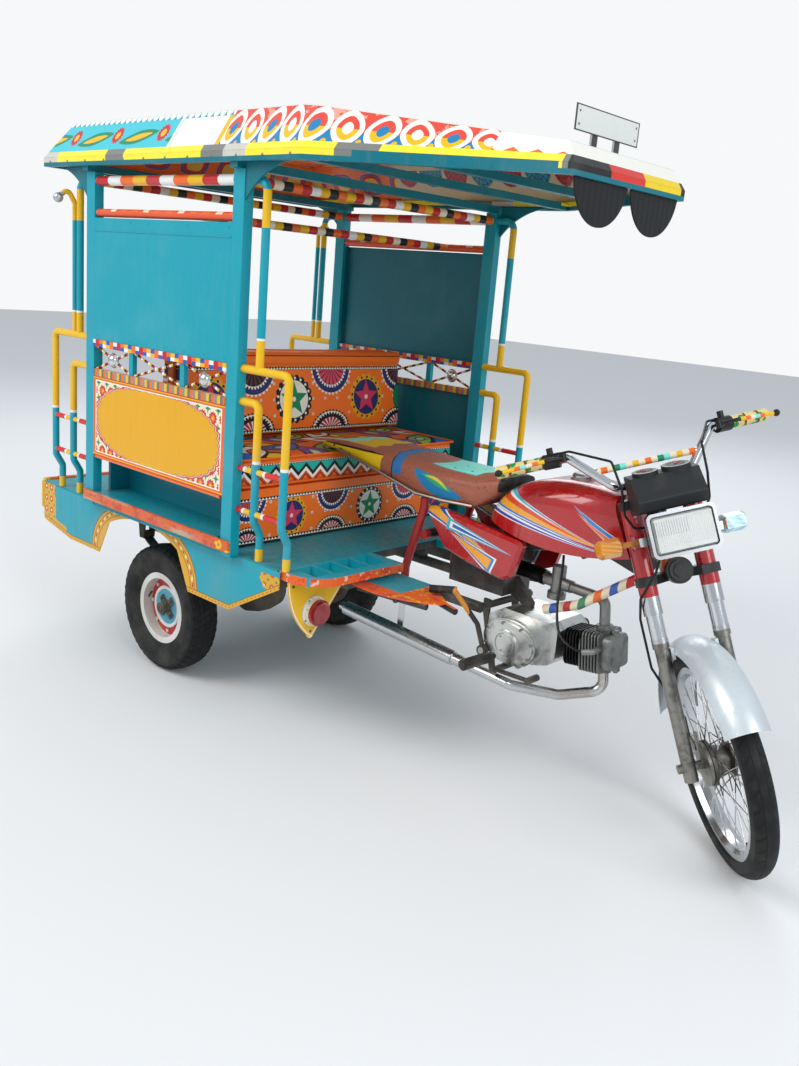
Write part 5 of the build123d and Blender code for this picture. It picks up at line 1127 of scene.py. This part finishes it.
raw = bmesh.new()
rings = [saddle_ring(raw, *station) for station in SADDLE_STATIONS]
for before, after in zip(rings[:-1], rings[1:]):
    for index in range(len(before)):
        following = (index + 1) % len(before)
        raw.faces.new((before[index], before[following], after[following], after[index]))
raw.faces.new(rings[0][::-1])
raw.faces.new(rings[-1])

seat = Paint("saddle_print", "9C5A45")
x, y, z = seat.axes
seat.put(seat.cells(110.0) < 0.22, "7A4230")
wave = (y * 90.0).math("SINE") * 0.006 + (y * 37.0).math("SINE") * 0.006
seat.put((y.size() < 0.086) & (x + wave < -0.075) & (x > -0.215), "D9B41C")
seat.put((y.size() < 0.080) & (x + wave < -0.165) & (x > -0.245), MINT)
arch = x - y.square() * 3.2 + wave * 0.6
seat.put(arch.between(0.000, 0.034) & (z > 0.765), "2C6FA8")
seat.put(arch.between(-0.004, 0.000), BLACK)
patch_a, patch_b = (x - 0.245 + y.square() * 4.0).size(), y.size() + (x - 0.245).square() * 1.4
buttons = disc((x - 0.22).fold(0.062), y.fold(0.058), 0.0035)
seat.lay(y.size() < 0.100, ((patch_a < 0.086) & (patch_b < 0.080), "49B8AC"),
         ((patch_a < 0.083) & (patch_b < 0.077), MINT),
         ((patch_a < 0.074) & (patch_b < 0.070) & buttons, "1E3B40"))
flank, FLANK_SEAM = y.size() > 0.104, (0.806, 0.811)
flank_dots = disc(x.fold(0.036), z - 0.789 + (x + 0.15) * 0.22, 0.0045)
seat.lay(flank & (x < -0.010), (z < FLANK_SEAM[1], "E0BC14"), (z.between(*FLANK_SEAM), BLACK),
         ((x < -0.020) & flank_dots, BLACK))
crescent_u = (x - 0.205) * 0.96 + (z - 0.768) * -0.28
crescent_v = (z - 0.768) * 0.96 + (x - 0.205) * 0.28
for half_long, deep, tall, colour in ((0.094, 0.034, 0.012, "1976A8"), (0.058, 0.006, 0.014, "2FA06A"),
                                      (0.046, -0.005, 0.013, "D8C33A")):
    swell = ~(crescent_u / half_long).square()
    seat.put(flank & (swell > 0.0) & (crescent_v + swell * deep > 0.0) & (crescent_v < swell * tall), colour)
seat.put(x > 0.388, "1B1B1C")
saddle_vinyl = vinyl(seat, 0.0008)
saddle = stuff(from_bmesh(raw, "saddle", saddle_vinyl), 0.0065, 2.5, 0.004)
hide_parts("driver_saddle")
dull_steel = metal("dull_steel", "9A8A80", 0.36, 0.5, 0.0003)
for side, word in SIDES:
    points = [(x, side * (half + 0.001), low + 0.004) for x, half, low, high in SADDLE_STATIONS[1:7]]
    tube(points, 0.0045, "saddle_strip", dull_steel)
print("saddle", len(saddle.data.polygons), "faces")

# %% [markdown]
# Tyres are black with a dusty wall. The front tyre has ribs and slanted grooves; the rear tyres have shoulder lugs,
# which stand off the round shoulder but stay under the crown, so the tyre still rolls on the same circle.

# %% Tyres
REAR_X, REAR_Y, REAR_Z = -0.665, 0.375, 0.208
FRONT_AHEAD = STEER_ACROSS.cross(Vector((0, 0, 1))).normalized()
FRONT_ABOVE = FRONT_AHEAD.cross(STEER_ACROSS).normalized()
tyre = Paint("tyre_rubber", "131415")
x, y, z = tyre.axes
is_front, is_rear = x > 0.5, x < 0.5
front_w = along_axis(tyre, STEER_ACROSS, WHEEL_CENTRE).size()
front_r, front_turn = polar(*(along_axis(tyre, axis, WHEEL_CENTRE) for axis in (FRONT_AHEAD, FRONT_ABOVE)))
rear_out = y.size() - REAR_Y
rear_w = rear_out.size()
rear_r, rear_turn = polar(x - REAR_X, z - REAR_Z)
front_slants = (front_turn * 46.0 + front_w * 190.0).math("SINE") > 0.72
front_cut = (front_r > 0.256) & (front_w.near(0.0014, 0.009) | (front_slants & (front_w > 0.010)))
rear_slants = (rear_turn * 60.0 + rear_out * 120.0).math("SINE") > 0.66
rear_cut = (rear_r > 0.1965) & (rear_w.near(0.0016, 0.011, 0.026) | (rear_slants & (rear_w < 0.026)))
cut = (is_front & front_cut) | (is_rear & rear_cut)
# The grooves are a shade darker than the tread: painted shade in the grooves.
tyre.put(cut, "0C0C0D")
wall = (is_front & (front_r < 0.254)) | (is_rear & (rear_r < 0.188))
tyre.stain("6B665E", 0.22, 14.0, 5, 0.35, 0.75, where=wall)
tyre.stain("5E5A53", 0.18, 22.0, 5, 0.45, 0.75, where=~cut)
wall_rings = (front_r * 1900.0).math("SINE") * is_front + (rear_r * 1500.0).math("SINE") * is_rear
tyre.height = cut * -1 + wall_rings * 0.12 + tyre.noise(240.0, 3) * 0.15
tyre_rubber = tyre.finish(0.003, tyre.noise(30.0) * 0.2 + 0.62)
for name in ("front_tyre", "rear_tyre_right", "rear_tyre_left"):
    wear(name, tyre_rubber)

LUGS, LUG_SHIFT, LUG_ROOT = 44, 0.035, 0.004
LUG_ROWS = ((0.0300, 0.2035, 0.0010, 0.034), (0.0405, 0.1985, 0.0024, 0.02992),
            (0.0475, 0.1915, 0.0026, 0.02992))
for side, word in SIDES:
    shape = bmesh.new()
    for index in range(LUGS):
        for edge in (-1, 1):
            middle = tau * index / LUGS + LUG_SHIFT * edge
            tops, feet = [], []
            for span, radius, lift, half_turn in LUG_ROWS:
                for angle in (middle - half_turn, middle + half_turn):
                    for store, r in ((tops, radius + lift), (feet, radius - LUG_ROOT)):
                        store.append(shape.verts.new((REAR_X + r * sin(angle), side * REAR_Y + edge * span,
                                                      REAR_Z + r * cos(angle))))
            for row in (0, 2):
                shape.faces.new([tops[row + corner] for corner in (0, 1, 3, 2)])
                shape.faces.new([feet[row + corner] for corner in (0, 2, 3, 1)])
                for near in (row, row + 1):
                    shape.faces.new((tops[near], tops[near + 2], feet[near + 2], feet[near]))
            for end in (0, 4):
                shape.faces.new((tops[end], tops[end + 1], feet[end + 1], feet[end]))
    from_bmesh(shape, "lugs_" + word, tyre_rubber, "rear_wheel_" + word, smooth=False, merge=0.00001)
print("tyres treaded")

# %% [markdown]
# The rear wheels are white rims round a red bolted disc, with a white drum lip, a blue face and a dark cross flange.
# The colour follows the distance from the axle and the distance along it.

# %% Rear wheels
wheel = Paint("rear_wheel_paint", "DCDDD8", coat=0.3)
x, y, z = wheel.axes
out_y, axle_r = y.size() - REAR_Y, polar(x - REAR_X, z - REAR_Z)[0]
wheel.put(axle_r.between(0.0698, 0.097) & (out_y > -0.004), "C2201E")
wheel.put(axle_r.between(0.0725, 0.096) & (out_y > 0.0038), "C9C6BC")
wheel.put((axle_r < 0.0575) & (out_y > 0.005), "1D97B4")
wheel.put((axle_r < 0.050) & (out_y > 0.0105), "2C2A28")
wheel.put(out_y < -0.012, "3A3733")
wear("rear_wheel_right", aged(wheel, 0.5, 0.9))
wear("rear_wheel_left", wheel.material)
print("rear wheels painted")

# %% [markdown]
# Small fasteners and fittings make the scale believable. A rivet or screw is a flattened ball that is half sunk in
# what it holds, and one mesh carries a whole row of them.


# %% Rivets and screws
def studs(name, places, radius, lift, outward, material):
    """Round heads in a row; outward is the direction they stand in."""
    shape = bmesh.new()
    turn = Vector(outward).to_track_quat("Z", "Y").to_matrix().to_4x4()
    flat = turn @ Matrix.Diagonal((1, 1, lift / radius, 1))
    for place in places:
        where = Matrix.Translation(Vector(place)) @ flat
        bmesh.ops.create_icosphere(shape, subdivisions=1, radius=radius, matrix=where)
    return from_bmesh(shape, name, material)


def row(from_x, to_x, y, z, count):
    """Points at equal steps along X."""
    start, end = Vector((from_x, y, z)), Vector((to_x, y, z))
    return [start.lerp(end, step / (count - 1)) for step in range(count)]


def ring_of(centre, axis, radius, count, start=0.0):
    """Points round a circle."""
    facing, angles = Vector(axis).to_track_quat("Z", "Y"), [start + tau * i / count for i in range(count)]
    return [Vector(centre) + facing @ Vector((radius * cos(angle), radius * sin(angle), 0)) for angle in angles]


steel = metal("screw_steel", "8E8C86", 0.35, 0.6, 0.0)
teal_stud = aged(Paint("teal_stud", TURQUOISE), 0.2, 0.9)
FORWARD, SHIELD_SCREWS = (1, 0, 0), ((0.292, 0.486), (0.478, 0.486), (0.407, 0.346))
for side, word in SIDES:
    outward = (0, side, 0)
    studs("skirt_rivets_" + word, row(-1.20, -0.02, side * 0.500, 0.5135, 16),
          0.0042, 0.0022, outward, teal_stud)
    studs("panel_rivets_" + word, [p for z in (1.062, 1.398) for p in row(-0.862, -0.218, side * 0.533, z, 8)],
          0.0036, 0.0018, outward, teal_stud)
    tube([(x, side * 0.5335, 1.372) for x in (-0.872, -0.208)],
         0.0018, "panel_crease_" + word, teal_stud)
    studs("eave_screws_" + word, row(-1.09, 0.04, side * 0.560, 1.5675, 12),
          0.0042, 0.0024, outward, steel)
    studs("shield_screws_" + word, [(0.0475, side * y, z) for y, z in SHIELD_SCREWS],
          0.0048, 0.0028, FORWARD, black_paint)
    studs("lamp_screws_" + word, ring_of((0.0535, side * MARKER_Y, MARKER_Z), FORWARD, 0.0398, 4, 0.6),
          0.0030, 0.0026, FORWARD, black_paint)
    studs("ledge_screws_" + word, row(-0.88, -0.20, side * 0.542, 0.553, 6),
          0.0040, 0.0022, outward, steel)
studs("plate_screws", [(0.542, y, z) for y in (-0.126, 0.126) for z in (1.6825, 1.7115)],
      0.0035, 0.002, FORWARD, steel)
print("rivets and screws set")

# %% Chrome domes on the gallery
for side, word in SIDES:
    shape = bmesh.new()
    for x in (-0.7725, -0.3075):
        place = Matrix.Translation((x, side * 0.5265, 0.994)) @ Matrix.Rotation(-side * pi / 2, 4, "X")
        bmesh.ops.create_uvsphere(shape, u_segments=28, v_segments=14, radius=0.019,
                                  matrix=place @ Matrix.Diagonal((1, 1, 0.80, 1)))
        bmesh.ops.create_cone(shape, cap_ends=True, segments=28, radius1=0.0235, radius2=0.0205, depth=0.004,
                              matrix=place @ Matrix.Translation((0, 0, 0.002)))
    from_bmesh(shape, "gallery_domes_" + word, chrome)
print("domes on")

# %% [markdown]
# The engine's two side covers are held by screws round their edges, and the right one has a thin raised ring. A
# black lead runs from the spark plug up under the tank. Tyre valves poke out of the rims.

# %% Engine and wheel fittings
COVER_X, COVER_Z = 0.504, 0.392
COVERS = (("cover_screws", -1, -0.1175, 8, 0.076, 0.0525, 0.3),
          ("left_cover_screws", 1, 0.1075, 6, 0.072, 0.046, 0.5))
for name, side, y, count, wide, tall, start in COVERS:
    angles = [tau * i / count + start for i in range(count)]
    studs(name, [(COVER_X + wide * cos(angle), y, COVER_Z + tall * sin(angle)) for angle in angles],
          0.0052, 0.0036, (0, side, 0), steel)
RING_CENTRE = (0.498, -0.1248, 0.390)
tube(ring_of(RING_CENTRE, (0, 1, 0), 0.0290, 40), 0.0014, "cover_ring", alloy, closed=True)
studs("ring_screws", ring_of(RING_CENTRE, (0, 1, 0), 0.0225, 3, 0.9),
      0.0034, 0.0020, (0, -1, 0), steel)
LEAD_ROUTE = ((0.716, -0.096, 0.431), (0.690, -0.108, 0.436), (0.645, -0.100, 0.455), (0.615, -0.074, 0.505),
              (0.600, -0.050, 0.560), (0.590, -0.030, 0.612), (0.580, -0.018, 0.640))
cable_sleeve = node["control_cables"].data.materials[0]
tube(LEAD_ROUTE, 0.0034, "plug_lead", cable_sleeve, sides=12, curved=True)
for side, word in SIDES:
    tube([(-0.750, side * 0.388, 0.236), (-0.745, side * 0.398, 0.232), (-0.737, side * 0.408, 0.227)],
         0.0036, "valve_" + word, black_paint, "rear_wheel_" + word)
valve_out = (FRONT_AHEAD * 0.6 + FRONT_ABOVE * -0.8).normalized()
tube([WHEEL_CENTRE + valve_out * reach for reach in (0.2165, 0.2050, 0.1900)],
     0.0030, "valve_front", black_paint, "front_wheel")
print("fittings on")

# %% [markdown]
# The two dials face up at the driver. Each has a pale ring, short marks and a red needle.

# %% Dials
mark_white = Paint("dial_marks", "D9DAD2", rough=0.5).finish()
needle_red = Paint("dial_needle", "D2301E", rough=0.5).finish()
DIAL_LEAN, SCALE_FROM, MARKS, RING_PARTS = radians(14), 0.75, 20, 48
dial_down = STEER_AHEAD * cos(DIAL_LEAN) - STEER_UP * sin(DIAL_LEAN)
dial_out = STEER_AHEAD * sin(DIAL_LEAN) + STEER_UP * cos(DIAL_LEAN)
dial_axes = Matrix((dial_down, STEER_ACROSS, dial_out)).transposed().to_4x4()


def bar_on_dial(shape, dial, angle, reach, size):
    """A thin bar that points away from a dial's centre."""
    place = dial @ Matrix.Rotation(angle, 4, "Z") @ Matrix.Translation((reach, 0, size[2] / 2))
    bmesh.ops.create_cube(shape, size=1, matrix=place @ Matrix.Diagonal((*size, 1)))


DIALS = (("large", 0.036, 0.012, 0.030, 2.4), ("small", -0.038, 0.010, 0.026, 4.3))
for name, across_by, thick, radius, needle_at in DIALS:
    dial = Matrix.Translation(on_steering(0.112, across_by, 0.972) + dial_out * (thick + 0.0002)) @ dial_axes
    marks, needle = bmesh.new(), bmesh.new()
    for index in range(MARKS + 1):
        long = 0.0055 if index % 2 == 0 else 0.0032
        angle = SCALE_FROM + index * (tau - 2 * SCALE_FROM) / MARKS
        bar_on_dial(marks, dial, angle, radius - 0.001 - long / 2, (long, 0.0010, 0.0006))
    for index in range(RING_PARTS):
        part = tau / RING_PARTS
        bar_on_dial(marks, dial, index * part, radius + 0.0012, (0.0012, radius * part * 1.08, 0.0009))
    bar_on_dial(needle, dial, needle_at, radius * 0.38, (radius * 0.92, 0.0016, 0.0012))
    bmesh.ops.create_cone(needle, cap_ends=True, segments=16, radius1=0.0036, radius2=0.0030, depth=0.002,
                          matrix=dial @ Matrix.Translation((0, 0, 0.001)))
    for kind, shape, material in (("marks", marks, mark_white), ("needle", needle, needle_red)):
        from_bmesh(shape, "dial_" + kind + "_" + name, material, "steering", smooth=False)
print("dials marked")
